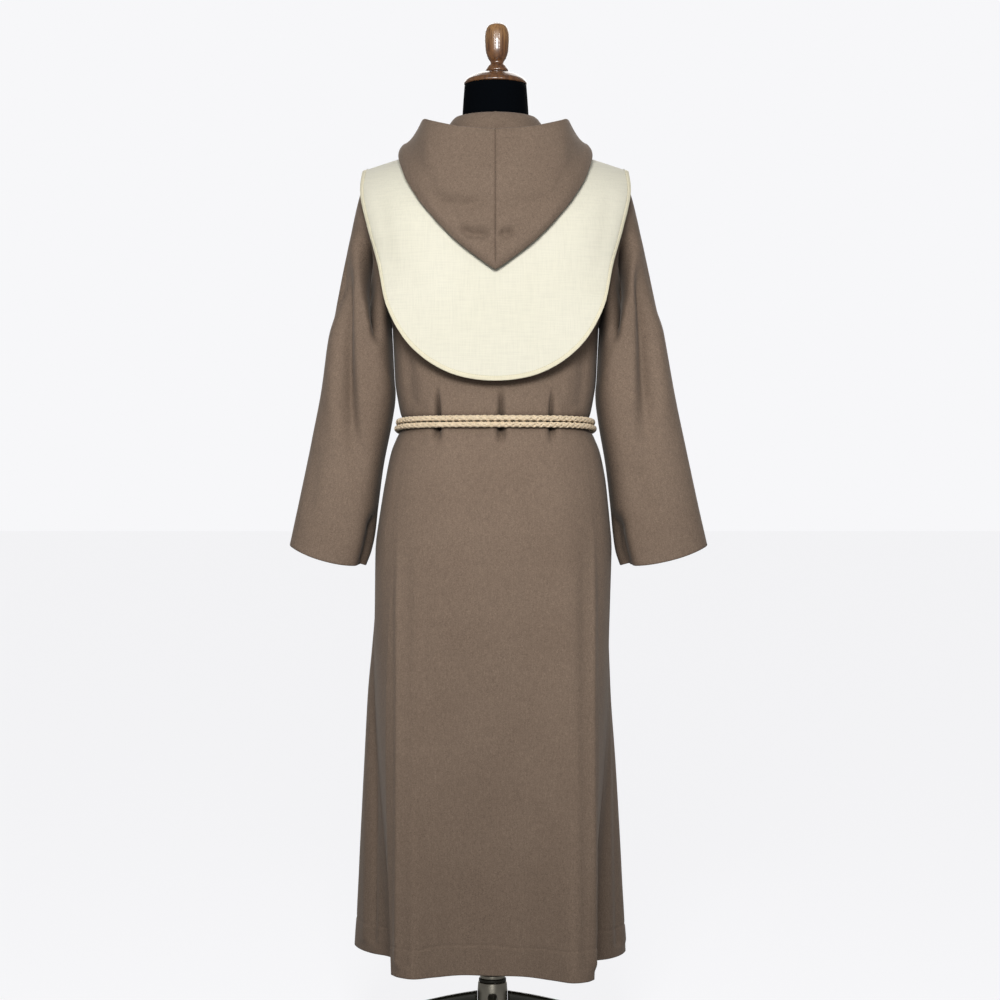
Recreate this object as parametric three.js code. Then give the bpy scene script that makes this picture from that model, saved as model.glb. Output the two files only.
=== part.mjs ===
// Nun habit on a limbless dress form, standing on a pole with four legs.
// The wearer faces -Y, the back of the habit faces +Y, +X is the wearer's left, floor at z = 0.
// Cloth is a closed wall: every panel is a grid of outer points and the same points moved inwards.
import * as THREE from 'three';

// ---------------------------------------------------------------- driving dimensions (mm)
const CLOTH = 2.4;
const CAPE_CLOTH = 2.0;
const SEAM_GAP = 0.4;

const HEM_Z = 150;
const PLEAT_TOP_Z = 835;
const BELT_Z = 1032;
const UNDERARM_Z = 1190;
const UNDERARM_X = 170;

const SHOULDER_TIP_X = 218;
const SHOULDER_TIP_Z = 1439;
const SHOULDER_SLOPE = 0.32;
const SHOULDER_FALL = 130;
const RIDGE_ROUNDING = 30;

const TUNIC_LIFT = 4.5;
const CAPE_LIFT = 10;
const HOOD_LIFT = 15.5;
const HOOD_SEAT_GAP = 1.1;

const NECKLINE_X = 72;
const NECKLINE_BACK_Y = 62;
const NECKLINE_FRONT_Y = 66;
const NECK_COLUMN_SHARE = 0.42;
const ARMHOLE_TOP_X = 205;
const ARMHOLE_DEPTH = 58;
const UNDERARM_ROUNDING = 0.45;
const BODY_POWER = 2.4;

const SKIRT_TURN = -0.11;
const SKIRT_SHIFT = [[HEM_Z, 11], [330, 10], [500, 8.5], [660, 7.5], [738, 5.5], [835, 3], [942, 0]];

const ROPE_DIAMETER = 10;

// Half-widths and half-depths of the tunic at its heights: [height, size].
const BODY_HALF_WIDTH = [
  [HEM_Z, 230], [250, 228], [330, 227], [418, 225], [500, 222], [580, 217], [660, 210], [738, 203], [832, 195],
  [900, 187], [942, 181], [985, 172], [1008, 163], [BELT_Z, 152], [1050, 157], [1070, 161], [1100, 165.5],
  [1140, 167.5], [UNDERARM_Z, UNDERARM_X],
];
const BODY_BACK_DEPTH = [
  [150, 150], [500, 140], [830, 128], [940, 119], [1032, 108], [1090, 112],
  [1190, 121], [1300, 130], [1400, 128], [1520, 124],
];
const BODY_FRONT_DEPTH = [
  [150, 170], [500, 158], [830, 140], [940, 127], [1032, 110], [1090, 112],
  [1190, 117], [1290, 122], [1400, 110], [1520, 102],
];

// Half of the hem seen from above, from the middle of the back round to the middle of the front.
// angle: where the same thread sits on the plain oval above the pleats.
const HEM_BACK = [
  { angle: 90, x: 0, y: 131 },
  { angle: 76, x: 50, y: 131 },
  { angle: 64, x: 92, y: 152 },
  { angle: 53, x: 126, y: 170 },
  { angle: 44, x: 150, y: 158 },
  { angle: 37, x: 161, y: 141 },
];
const HEM_PLEAT = [
  { angle: 37, x: 161, y: 141 },
  { angle: 25, x: 157, y: 96 },
  { angle: 12, x: 154, y: 56 },
  { angle: 0, x: 158, y: 20 },
];
const HEM_FRONT = [
  { angle: 0, x: 158, y: 20 },
  { angle: -6, x: 172, y: -2 },
  { angle: -13, x: 196, y: -20 },
  { angle: -21, x: 218, y: -52 },
  { angle: -30, x: 229, y: -92 },
  { angle: -39, x: 221, y: -136 },
  { angle: -48, x: 194, y: -172 },
  { angle: -57, x: 156, y: -186 },
  { angle: -66, x: 114, y: -176 },
  { angle: -75, x: 72, y: -160 },
  { angle: -83, x: 34, y: -154 },
  { angle: -90, x: 0, y: -154 },
];

// ---------------------------------------------------------------- small helpers
const clamp = (value, low, high) => Math.min(high, Math.max(low, value));
const mix = (a, b, t) => a + (b - a) * t;
const mixPoint = (a, b, t) => a.clone().lerp(b, t);
const radians = (degrees) => (degrees * Math.PI) / 180;

function smooth(low, high, value) {
  const t = clamp((value - low) / (high - low), 0, 1);
  return t * t * (3 - 2 * t);
}

// Smooth value at a height, through [height, value] keys, with flat tangents at turning points.
function along(keys, height) {
  if (height <= keys[0][0]) return keys[0][1];
  const last = keys.length - 1;
  if (height >= keys[last][0]) return keys[last][1];
  let k = 0;
  while (height > keys[k + 1][0]) k += 1;
  const slope = (i) => (keys[i + 1][1] - keys[i][1]) / (keys[i + 1][0] - keys[i][0]);
  const tangent = (i) => {
    if (i === 0) return slope(0);
    if (i === last) return slope(last - 1);
    const before = slope(i - 1);
    const after = slope(i);
    return before * after <= 0 ? 0 : (2 * before * after) / (before + after);
  };
  const span = keys[k + 1][0] - keys[k][0];
  const t = (height - keys[k][0]) / span;
  const t2 = t * t;
  const t3 = t2 * t;
  return keys[k][1] * (2 * t3 - 3 * t2 + 1) + tangent(k) * span * (t3 - 2 * t2 + t)
    + keys[k + 1][1] * (3 * t2 - 2 * t3) + tangent(k + 1) * span * (t3 - t2);
}

function material(color, roughness, metalness = 0) {
  return new THREE.MeshStandardMaterial({ color, roughness, metalness });
}

// ---------------------------------------------------------------- cloth walls
// Unit normals of a grid of points, on the side where columns x rows points out.
function gridNormals(grid, wraps = false) {
  const rows = grid.length;
  const columns = grid[0].length;
  return grid.map((row, i) => row.map((_, j) => {
    const left = wraps ? (j + columns - 1) % columns : Math.max(j - 1, 0);
    const right = wraps ? (j + 1) % columns : Math.min(j + 1, columns - 1);
    const across = grid[i][right].clone().sub(grid[i][left]);
    const up = grid[Math.min(i + 1, rows - 1)][j].clone().sub(grid[Math.max(i - 1, 0)][j]);
    return across.cross(up).normalize();
  }));
}

function offsetGrid(grid, normals, distance) {
  return grid.map((row, i) => row.map((point, j) => point.clone().addScaledVector(normals[i][j], distance)));
}

// Closed wall between two grids of the same size.
function wallGeometry(outer, inner, wraps = false) {
  const rows = outer.length;
  const columns = outer[0].length;
  const positions = [];
  [outer, inner].forEach((grid) => grid.forEach((row) => row.forEach((p) => positions.push(p.x, p.y, p.z))));
  const shift = rows * columns;
  const index = [];
  const quad = (a, b, c, d) => index.push(a, b, c, a, c, d);
  const cells = wraps ? columns : columns - 1;
  const at = (i, j) => i * columns + (j % columns);
  for (let i = 0; i < rows - 1; i += 1) {
    for (let j = 0; j < cells; j += 1) {
      quad(at(i, j), at(i, j + 1), at(i + 1, j + 1), at(i + 1, j));
      quad(shift + at(i, j), shift + at(i + 1, j), shift + at(i + 1, j + 1), shift + at(i, j + 1));
    }
  }
  for (let j = 0; j < cells; j += 1) {
    quad(at(0, j + 1), at(0, j), shift + at(0, j), shift + at(0, j + 1));
    quad(at(rows - 1, j), at(rows - 1, j + 1), shift + at(rows - 1, j + 1), shift + at(rows - 1, j));
  }
  if (!wraps) {
    for (let i = 0; i < rows - 1; i += 1) {
      quad(at(i, 0), at(i + 1, 0), shift + at(i + 1, 0), shift + at(i, 0));
      const end = columns - 1;
      quad(at(i + 1, end), at(i, end), shift + at(i, end), shift + at(i + 1, end));
    }
  }
  return facingOut(positions, index);
}

// Closed skin through rings of the same number of points, with a fan at each end.
function ringGeometry(rings) {
  const columns = rings[0].length;
  const positions = [];
  rings.forEach((ring) => ring.forEach((p) => positions.push(p.x, p.y, p.z)));
  const index = [];
  for (let i = 0; i < rings.length - 1; i += 1) {
    for (let j = 0; j < columns; j += 1) {
      const next = (j + 1) % columns;
      const a = i * columns + j;
      const b = i * columns + next;
      index.push(a, b, b + columns, a, b + columns, a + columns);
    }
  }
  [0, rings.length - 1].forEach((i) => {
    const centre = rings[i].reduce((sum, p) => sum.add(p), new THREE.Vector3()).divideScalar(columns);
    const hub = positions.length / 3;
    positions.push(centre.x, centre.y, centre.z);
    for (let j = 0; j < columns; j += 1) {
      const a = i * columns + j;
      const b = i * columns + ((j + 1) % columns);
      if (i === 0) index.push(hub, b, a);
      else index.push(hub, a, b);
    }
  });
  return facingOut(positions, index);
}

function facingOut(positions, index) {
  let volume = 0;
  const corner = (k) => new THREE.Vector3().fromArray(positions, index[k] * 3);
  for (let k = 0; k < index.length; k += 3) {
    volume += corner(k).dot(corner(k + 1).cross(corner(k + 2)));
  }
  if (volume < 0) {
    for (let k = 0; k < index.length; k += 3) {
      [index[k + 1], index[k + 2]] = [index[k + 2], index[k + 1]];
    }
  }
  const geometry = new THREE.BufferGeometry();
  geometry.setAttribute('position', new THREE.Float32BufferAttribute(positions, 3));
  geometry.setIndex(index);
  return geometry;
}

// ---------------------------------------------------------------- shape of the upper body
const ridgeZ = (x, lift) => SHOULDER_TIP_Z + lift
  + SHOULDER_SLOPE * (SHOULDER_TIP_X - Math.hypot(x, RIDGE_ROUNDING));

// How far the shoulder has rounded over at a height: 0 on the ridge, 1 below the rounding.
function roundedOver(x, z, lift) {
  const q = clamp((ridgeZ(x, lift) - z) / (SHOULDER_FALL + lift), 0, 1);
  return Math.sqrt(q * (2 - q));
}

const fullDepth = (z, side) => along(side > 0 ? BODY_BACK_DEPTH : BODY_FRONT_DEPTH, z);
const superOval = (share, power) => (1 - clamp(share, 0, 1) ** power) ** (1 / power);
const ARMHOLE_TOP_Z = ridgeZ(ARMHOLE_TOP_X, TUNIC_LIFT);
const armholeRise = (z) => clamp((z - UNDERARM_Z) / (ARMHOLE_TOP_Z - UNDERARM_Z), 0, 1);
const armholeX = (z) => mix(UNDERARM_X, ARMHOLE_TOP_X, armholeRise(z));

function armholeDepth(z) {
  const rise = clamp(armholeRise(z) / UNDERARM_ROUNDING, 0, 1);
  return ARMHOLE_DEPTH * Math.sqrt(rise * (2 - rise));
}

// Distance of the tunic's outer face in front of or behind the shoulder ridge.
function tunicDepth(x, z, side) {
  const edge = armholeDepth(z);
  const depth = edge + (fullDepth(z, side) - edge) * superOval(Math.abs(x) / armholeX(z), BODY_POWER);
  return depth * roundedOver(x, z, TUNIC_LIFT);
}

// Height on the rounded shoulder where the given depth is reached.
function shoulderZ(x, y, depth, lift) {
  const share = clamp(Math.abs(y) / depth, 0, 1);
  return ridgeZ(x, lift) - (SHOULDER_FALL + lift) * (1 - Math.sqrt(1 - share * share));
}

// ---------------------------------------------------------------- tunic body
const pleatOpening = (z) => clamp((PLEAT_TOP_Z - z) / (PLEAT_TOP_Z - HEM_Z), 0, 1);

function ovalPoint(z, angle) {
  const c = Math.cos(radians(angle));
  const s = Math.sin(radians(angle));
  const depth = fullDepth(z, s >= 0 ? 1 : -1);
  const power = 2 / BODY_POWER;
  return [
    along(BODY_HALF_WIDTH, z) * Math.sign(c) * Math.abs(c) ** power,
    depth * Math.sign(s) * Math.abs(s) ** power,
  ];
}

// One thread of the skirt at a height: the oval above the pleats, the folded hem below.
function skirtPoint(station, mirror, z) {
  const opening = pleatOpening(z);
  const [ovalX, ovalY] = ovalPoint(z, station.angle);
  const side = station.y >= 0 ? 1 : -1;
  const foldX = station.x * (along(BODY_HALF_WIDTH, z) / along(BODY_HALF_WIDTH, HEM_Z));
  const foldY = station.y * (fullDepth(z, side) / fullDepth(HEM_Z, side));
  const x = mirror * mix(ovalX, foldX, opening);
  const y = mix(ovalY, foldY, opening);
  return new THREE.Vector3(x + along(SKIRT_SHIFT, z), y + SKIRT_TURN * opening * x, z);
}

function stretchPoints(stations, mirror, z, cells) {
  const curve = new THREE.CatmullRomCurve3(stations.map((s) => skirtPoint(s, mirror, z)), false, 'centripetal');
  return Array.from({ length: cells + 1 }, (_, k) => curve.getPoint(k / cells));
}

const BACK_CELLS = 9;
const PLEAT_CELLS = 4;
const FRONT_CELLS = 15;

// Ring of the back panel from the left side seam round the back to the right side seam.
function backRow(z) {
  const halves = [1, -1].map((mirror) => {
    const back = stretchPoints(HEM_BACK, mirror, z, BACK_CELLS);
    return back.concat(stretchPoints(HEM_PLEAT, mirror, z, PLEAT_CELLS).slice(1));
  });
  return halves[0].reverse().concat(halves[1].slice(1));
}

// Ring of the front panel from the right side seam round the front to the left side seam.
function frontRow(z) {
  const right = stretchPoints(HEM_FRONT, -1, z, FRONT_CELLS);
  const left = stretchPoints(HEM_FRONT, 1, z, FRONT_CELLS);
  return right.concat(left.reverse().slice(1));
}

// Top edge of a panel: shoulder seam, neckline, shoulder seam. share runs from -1 to 1 across it.
function topEdge(share, side) {
  const across = Math.abs(share);
  const sign = share < 0 ? -1 : 1;
  if (across >= NECK_COLUMN_SHARE) {
    const x = mix(NECKLINE_X, ARMHOLE_TOP_X, (across - NECK_COLUMN_SHARE) / (1 - NECK_COLUMN_SHARE));
    return [sign * x, ridgeZ(x, TUNIC_LIFT)];
  }
  const turn = (across / NECK_COLUMN_SHARE) * (Math.PI / 2);
  const x = NECKLINE_X * Math.sin(turn);
  const y = (side > 0 ? NECKLINE_BACK_Y : NECKLINE_FRONT_Y) * Math.cos(turn);
  const level = ridgeZ(0, TUNIC_LIFT) - y / 4;
  return [sign * x, shoulderZ(x, y, fullDepth(level, side), TUNIC_LIFT)];
}

// Rows above the underarm, closer together towards the shoulder ridge.
const UPPER_STEPS = [0.24, 0.45, 0.63, 0.79, 0.92, 1];

function upperRow(baseRow, step, side) {
  const climb = 1 - (1 - step) ** 2;
  return baseRow.map((base) => {
    const share = clamp(base.x / UNDERARM_X, -1, 1);
    const [topX, topZ] = topEdge(share, side);
    const x = mix(base.x, topX, climb);
    const z = mix(UNDERARM_Z, topZ, climb);
    return new THREE.Vector3(x, side * tunicDepth(x, z, side), z);
  });
}

const SKIRT_LEVELS = [HEM_Z, 330, 510, 680, 800, 900, 965, 1008, BELT_Z, 1078, 1130, UNDERARM_Z];

function panelGrid(rowAt, side) {
  const grid = SKIRT_LEVELS.map((z) => rowAt(z));
  const base = grid[grid.length - 1];
  UPPER_STEPS.forEach((step) => grid.push(upperRow(base, step, side)));
  return grid;
}

// Short gathers that the belt draws in: [middle angle, depth] round the waist.
const GATHERS = [[52, 7], [91, 8], [128, 7], [232, 7], [258, 6], [284, 6], [310, 7]];
const GATHER_WIDTH = 5.5;
const GATHER_REACH = 62;

function drawIn(grid) {
  grid.forEach((row) => row.forEach((point) => {
    const reach = Math.exp(-(((point.z - BELT_Z) / GATHER_REACH) ** 2));
    const angle = (Math.atan2(point.y, point.x) * 180) / Math.PI;
    const turned = angle < 0 ? angle + 360 : angle;
    const radius = Math.hypot(point.x, point.y);
    const depth = GATHERS.reduce((sum, [middle, deep]) =>
      sum + deep * Math.exp(-(((turned - middle) / GATHER_WIDTH) ** 2)), 0);
    const pull = 1 - (depth * reach) / radius;
    point.x *= pull;
    point.y *= pull;
  }));
}

const ARMHOLE_START = SKIRT_LEVELS.length - 1;
const ON_THE_RIDGE = 1;
const armholeRows = (grid) => grid.slice(ARMHOLE_START);

// Closed armhole edge of one side, from the shoulder down the back, under the arm and up the front.
function armholeLoop(backGrid, frontGrid, mirror) {
  const edge = (grid, atStart) => armholeRows(grid).map((row) => (atStart ? row[0] : row[row.length - 1]));
  const back = edge(backGrid, mirror > 0).reverse();
  const front = edge(frontGrid, mirror < 0);
  return back.concat(front.slice(1, -1));
}

// Outward direction of a closed loop at each point, within the plane of the armhole.
function loopNormals(loop) {
  const centre = loop.reduce((sum, p) => sum.add(p), new THREE.Vector3()).divideScalar(loop.length);
  return loop.map((point, k) => {
    const before = loop[(k + loop.length - 1) % loop.length];
    const after = loop[(k + 1) % loop.length];
    const normal = new THREE.Vector3(0, after.z - before.z, before.y - after.y).normalize();
    const outward = point.clone().sub(centre);
    return normal.dot(outward) < 0 ? normal.negate() : normal;
  });
}

function nearestIndex(loop, point) {
  let best = 0;
  loop.forEach((p, k) => {
    if (p.distanceTo(point) < loop[best].distanceTo(point)) best = k;
  });
  return best;
}

// Panels that meet at a seam turn their walls the same way along it.
function matchSideSeams(back, front) {
  const lastBack = back.normals[0].length - 1;
  const lastFront = front.normals[0].length - 1;
  const match = (a, b) => {
    a.add(b).normalize();
    b.copy(a);
  };
  for (let i = 0; i < ARMHOLE_START; i += 1) {
    match(back.normals[i][0], front.normals[i][lastFront]);
    match(back.normals[i][lastBack], front.normals[i][0]);
  }
}

function matchShoulderSeam({ grid, normals }) {
  const top = grid.length - 1;
  grid[top].forEach((point, j) => {
    if (Math.abs(point.y) < ON_THE_RIDGE) normals[top][j].y = 0;
  });
}

function matchArmhole({ grid, normals }, column, loop) {
  const around = loopNormals(loop);
  for (let i = ARMHOLE_START; i < grid.length; i += 1) {
    normals[i][column].copy(around[nearestIndex(loop, grid[i][column])]);
  }
}

function buildTunic() {
  const [back, front] = [[backRow, 1], [frontRow, -1]].map(([rowAt, side]) => {
    const grid = panelGrid(rowAt, side);
    drawIn(grid);
    return { grid, normals: gridNormals(grid) };
  });
  const lastBack = back.grid[0].length - 1;
  const lastFront = front.grid[0].length - 1;
  const leftArmhole = armholeLoop(back.grid, front.grid, 1);
  const rightArmhole = armholeLoop(back.grid, front.grid, -1);
  matchSideSeams(back, front);
  matchShoulderSeam(back);
  matchShoulderSeam(front);
  matchArmhole(back, 0, leftArmhole);
  matchArmhole(front, lastFront, leftArmhole);
  matchArmhole(back, lastBack, rightArmhole);
  matchArmhole(front, 0, rightArmhole);
  const [backWall, frontWall] = [back, front].map(({ grid, normals }) =>
    openSeams(grid, offsetGrid(grid, normals, -CLOTH)));
  return { backWall, frontWall, leftArmhole, rightArmhole };
}

// Draw the edges of a panel back by half the seam gap.
function openSeams(outer, inner) {
  const half = SEAM_GAP / 2;
  const last = outer[0].length - 1;
  const rows = outer.length;
  const facesBack = outer[0][Math.round(last / 2)].y > 0 ? 1 : -1;
  const shifts = outer.map((row, i) => row.map((point, j) => {
    const shift = new THREE.Vector3();
    if (j === 0 || j === last) {
      const towards = row[j === 0 ? 1 : last - 1].clone().sub(point).normalize();
      if (i <= ARMHOLE_START) shift.addScaledVector(towards, half);
      if (i >= ARMHOLE_START) shift.x -= Math.sign(point.x) * half;
    }
    if (i === rows - 1 && Math.abs(point.y) < ON_THE_RIDGE) shift.y += facesBack * half;
    return shift;
  }));
  const move = (grid) => grid.map((row, i) => row.map((point, j) => point.clone().add(shifts[i][j])));
  return [move(outer), move(inner)];
}

// ---------------------------------------------------------------- sleeves
const SLEEVE_ROWS = 12;

// Long soft fold down the back of a sleeve: depth, turn round the sleeve, width, and where it fades.
const SLEEVE_FOLD = 7;
const SLEEVE_FOLD_TURN = 1.25;
const SLEEVE_FOLD_WIDTH = 0.25;
const SLEEVE_FOLD_STARTS = [0.12, 0.35];
const SLEEVE_FOLD_ENDS = [0.7, 0.95];

// Outer and inner lines of a sleeve from the armhole to the cuff: [height, distance from the middle].
const SLEEVE_OUTER = [
  [ARMHOLE_TOP_Z, 205], [1421, 219], [1330, 241], [1230, 260], [1088, 288], [1022, 300], [898, 328], [830, 344],
];
const SLEEVE_INNER = [
  [UNDERARM_Z, 170.4], [1150, 169.6], [1100, 168.6], [1060, 169], [1022, 173.5], [964, 184], [900, 192.5],
  [848, 198.5], [820, 204], [799, 212],
];
const SLEEVE_DEPTH = [[0, 58], [0.2, 62], [0.45, 60], [0.7, 56], [1, 54]];
const SLEEVE_POWER = 2.2;
const CUFF_BULGE = 9;
const CUFF_BULGE_STARTS = 0.75;
const ARMHOLE_SETTLES = 0.3;

// Point at a share of the length of a line of [height, x] keys.
function lineAt(keys, share) {
  const points = keys.map(([z, x]) => new THREE.Vector3(x, 0, z));
  return new THREE.CatmullRomCurve3(points, false, 'centripetal').getPointAt(share);
}

// Turns of the sleeve ring: 0 on the outer line, 90 at the back, 180 on the inner line.
function sleeveGrid(loop, mirror) {
  const count = loop.length;
  const top = ARMHOLE_TOP_Z;
  const turns = loop.map((point, k) => {
    const half = Math.acos(clamp(1 - (2 * (top - point.z)) / (top - UNDERARM_Z), -1, 1));
    return k <= count / 2 ? half : 2 * Math.PI - half;
  });
  const grid = [];
  for (let i = 0; i < SLEEVE_ROWS; i += 1) {
    const share = i / (SLEEVE_ROWS - 1);
    const outer = lineAt(SLEEVE_OUTER, share);
    const inner = lineAt(SLEEVE_INNER, share);
    const centre = mixPoint(outer, inner, 0.5);
    const reach = outer.clone().sub(centre);
    const depth = along(SLEEVE_DEPTH, share);
    const settled = smooth(0, ARMHOLE_SETTLES, share);
    const foldDepth = SLEEVE_FOLD * smooth(...SLEEVE_FOLD_STARTS, share) * (1 - smooth(...SLEEVE_FOLD_ENDS, share));
    grid.push(turns.map((turn, k) => {
      const c = Math.cos(turn);
      const s = Math.sin(turn);
      const power = 2 / SLEEVE_POWER;
      const fold = foldDepth * Math.exp(-(((turn - SLEEVE_FOLD_TURN) / SLEEVE_FOLD_WIDTH) ** 2));
      const outwards = mix(c, Math.sign(c) * Math.abs(c) ** power, settled);
      const across = Math.sign(s) * depth * Math.abs(s) ** power - fold;
      const point = centre.clone().addScaledVector(reach, outwards);
      point.y = mix(loop[k].y, across, settled);
      point.z -= CUFF_BULGE * s * s * smooth(CUFF_BULGE_STARTS, 1, share);
      point.x *= mirror;
      if (i === 0) point.copy(loop[k]);
      point.x += mirror * (SEAM_GAP / 2);
      return point;
    }));
  }
  return grid;
}

function buildSleeve(loop, mirror) {
  const grid = sleeveGrid(loop, mirror);
  const normals = gridNormals(grid, true);
  const middle = grid[SLEEVE_ROWS / 2];
  const centre = middle.reduce((sum, p) => sum.add(p), new THREE.Vector3()).divideScalar(loop.length);
  const outward = Math.sign(normals[SLEEVE_ROWS / 2][0].dot(middle[0].clone().sub(centre)));
  loopNormals(loop).forEach((normal, k) => normals[0][k].copy(normal).multiplyScalar(outward));
  return [grid, offsetGrid(grid, normals, -CLOTH * outward), true];
}

// ---------------------------------------------------------------- shoulder cape
// Half outline of the cape from the shoulder tip down to the middle: [x, z].
const CAPE_BACK_EDGE = [
  [218, 1449], [219.5, 1405], [206, 1345], [189, 1285], [172, 1212], [134, 1150], [74, 1109], [0, 1096],
];
const CAPE_FRONT_EDGE = [
  [218, 1449], [219, 1410], [205, 1358], [187, 1305], [168, 1248], [130, 1192], [70, 1156], [0, 1144],
];
const CAPE_HALF_WIDTH = [[1096, 190], [1285, 195], [1345, 212], [1405, 226], [1449, 226]];
const CAPE_EDGE_DEPTH = [[1096, 128], [1195, 112], [1244, 99], [1330, 76], [1400, 60], [1449, 56]];
const CAPE_STAND_OFF = 10;
const CAPE_HANG_Z = 1300;
const CAPE_FRONT_CLOSER = 6;
const CAPE_NECK_X = 79;
const CAPE_NECK_BACK_Y = 70;
const CAPE_NECK_FRONT_Y = 74;
const CAPE_HALF_COLUMNS = 10;
const CAPE_ROWS = 8;

// Powers that crowd the columns towards the shoulder and the rows towards the neck.
const CAPE_COLUMN_POWER = 1.9;
const CAPE_ROW_POWER = 1.6;

function capeDepth(x, z, side, lift) {
  const hang = Math.max(z, CAPE_HANG_Z);
  const full = fullDepth(hang, side) + CAPE_STAND_OFF;
  const edge = along(CAPE_EDGE_DEPTH, z) - (side > 0 ? 0 : CAPE_FRONT_CLOSER);
  const depth = edge + (full - edge) * superOval(Math.abs(x) / along(CAPE_HALF_WIDTH, z), 2);
  return (depth + lift - CAPE_LIFT) * roundedOver(x, z, lift);
}

function capePoint(x, z, side, lift = CAPE_LIFT) {
  return new THREE.Vector3(x, side * capeDepth(x, z, side, lift), z);
}

function edgeCurve(keys) {
  return new THREE.CatmullRomCurve3(keys.map(([x, z]) => new THREE.Vector3(x, 0, z)), false, 'centripetal');
}

function capeColumn(turn, side) {
  const outline = edgeCurve(side > 0 ? CAPE_BACK_EDGE : CAPE_FRONT_EDGE).getPointAt(turn ** CAPE_COLUMN_POWER);
  const neckTurn = turn * (Math.PI / 2);
  const neckX = CAPE_NECK_X * Math.cos(neckTurn);
  const neckY = (side > 0 ? CAPE_NECK_BACK_Y : CAPE_NECK_FRONT_Y) * Math.sin(neckTurn);
  const level = ridgeZ(0, CAPE_LIFT) - neckY / 4;
  const neckZ = shoulderZ(neckX, neckY, fullDepth(level, side) + CAPE_STAND_OFF, CAPE_LIFT);
  return Array.from({ length: CAPE_ROWS }, (_, i) => {
    const share = (i / (CAPE_ROWS - 1)) ** CAPE_ROW_POWER;
    const x = mix(neckX, Math.max(outline.x, 0), share);
    const z = Math.min(mix(neckZ, outline.z, share), ridgeZ(x, CAPE_LIFT));
    return turn === 0 ? new THREE.Vector3(x, 0, ridgeZ(x, CAPE_LIFT)) : capePoint(x, z, side);
  });
}

function buildCape() {
  const quarter = (side) => Array.from({ length: CAPE_HALF_COLUMNS + 1 },
    (_, k) => capeColumn(k / CAPE_HALF_COLUMNS, side));
  const mirrored = (column) => column.map((p) => new THREE.Vector3(-p.x, p.y, p.z));
  const back = quarter(1);
  const front = quarter(-1);
  const columns = [
    ...back.slice(0, -1),
    ...back.slice(1).reverse().map(mirrored),
    ...front.slice(0, -1).map(mirrored),
    ...front.slice(1).reverse(),
  ];
  const grid = Array.from({ length: CAPE_ROWS }, (_, i) => columns.map((column) => column[CAPE_ROWS - 1 - i]));
  const normals = gridNormals(grid, true);
  return [grid, offsetGrid(grid, normals, -CAPE_CLOTH), true];
}

// ---------------------------------------------------------------- hood
const HOOD_CLOTH = 2.4;
const HOOD_FOLD = 8;
const HOOD_BULGE = 7;
const HOOD_COLUMNS = [0, 0.07, 0.14, 0.21, 0.28, 0.35, 0.42, 0.49, 0.55, 0.6, 0.65, 0.72, 0.79, 0.86, 0.93, 1];
const COLLAR_TOP_Z = 1530;
const COLLAR_FRONT_DROP = 22;
const COLLAR_RADIUS = 61;
const COLLAR_BACK_OUT = 4;
const COLLAR_FRONT_OUT = 6;
const COLLAR_ROLL = 9;
const COLLAR_ROLL_DROPS = [7, 0, 6];
const COLLAR_STAND_SHARE = 0.55;
const LANDING_X = 88;
const LANDING_FALL = 41;
const HANG_PER_DEGREE = 2.4;
const LYING_STEPS = [0, 0.13, 0.28, 0.48, 0.74, 1];
const STANDING_STEPS = [0.35, 0.7];

// Folded edge of the hood on the cape, from the tip at the back (0) to the throat (1).
// fall: degrees over the shoulder, 0 on the ridge and 90 where the back hangs straight.
const FOLD_X = [
  [0, 0], [0.1, 30], [0.2, 62], [0.3, 95], [0.4, 125], [0.5, 148], [0.58, 158], [0.65, 155], [0.75, 130],
  [0.87, 82], [1, 0],
];
const FOLD_FALL = [
  [0, 132], [0.1, 121], [0.2, 107], [0.3, 89], [0.4, 71], [0.5, 49], [0.58, 24], [0.65, 0], [0.75, -27],
  [0.87, -48], [1, -57],
];

// Face edge of the hood: the same shares with the place of the edge.
const RIM_X = [
  [0, 0], [0.1, 28], [0.2, 56], [0.3, 83], [0.4, 105], [0.5, 117], [0.58, 121], [0.65, 119], [0.75, 104],
  [0.87, 68], [1, 0],
];
const RIM_Y = [
  [0, 143], [0.2, 137], [0.3, 125], [0.4, 106], [0.5, 79], [0.58, 50], [0.65, 20], [0.75, -36], [0.87, -84],
  [1, -110],
];
const RIM_Z = [
  [0, 1494], [0.2, 1499], [0.3, 1506], [0.4, 1514], [0.5, 1520], [0.58, 1519], [0.65, 1513], [0.75, 1500],
  [0.87, 1483], [1, 1470],
];

// Point over the cape: fall in degrees, positive to the back.
function overCape(x, fall, lift) {
  const side = fall >= 0 ? 1 : -1;
  const over = Math.min(Math.abs(fall), 90);
  const hang = Math.max(Math.abs(fall) - 90, 0);
  const z = ridgeZ(x, lift) - (SHOULDER_FALL + lift) * (1 - Math.cos(radians(over))) - hang * HANG_PER_DEGREE;
  return capePoint(x, z, side, lift);
}

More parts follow.
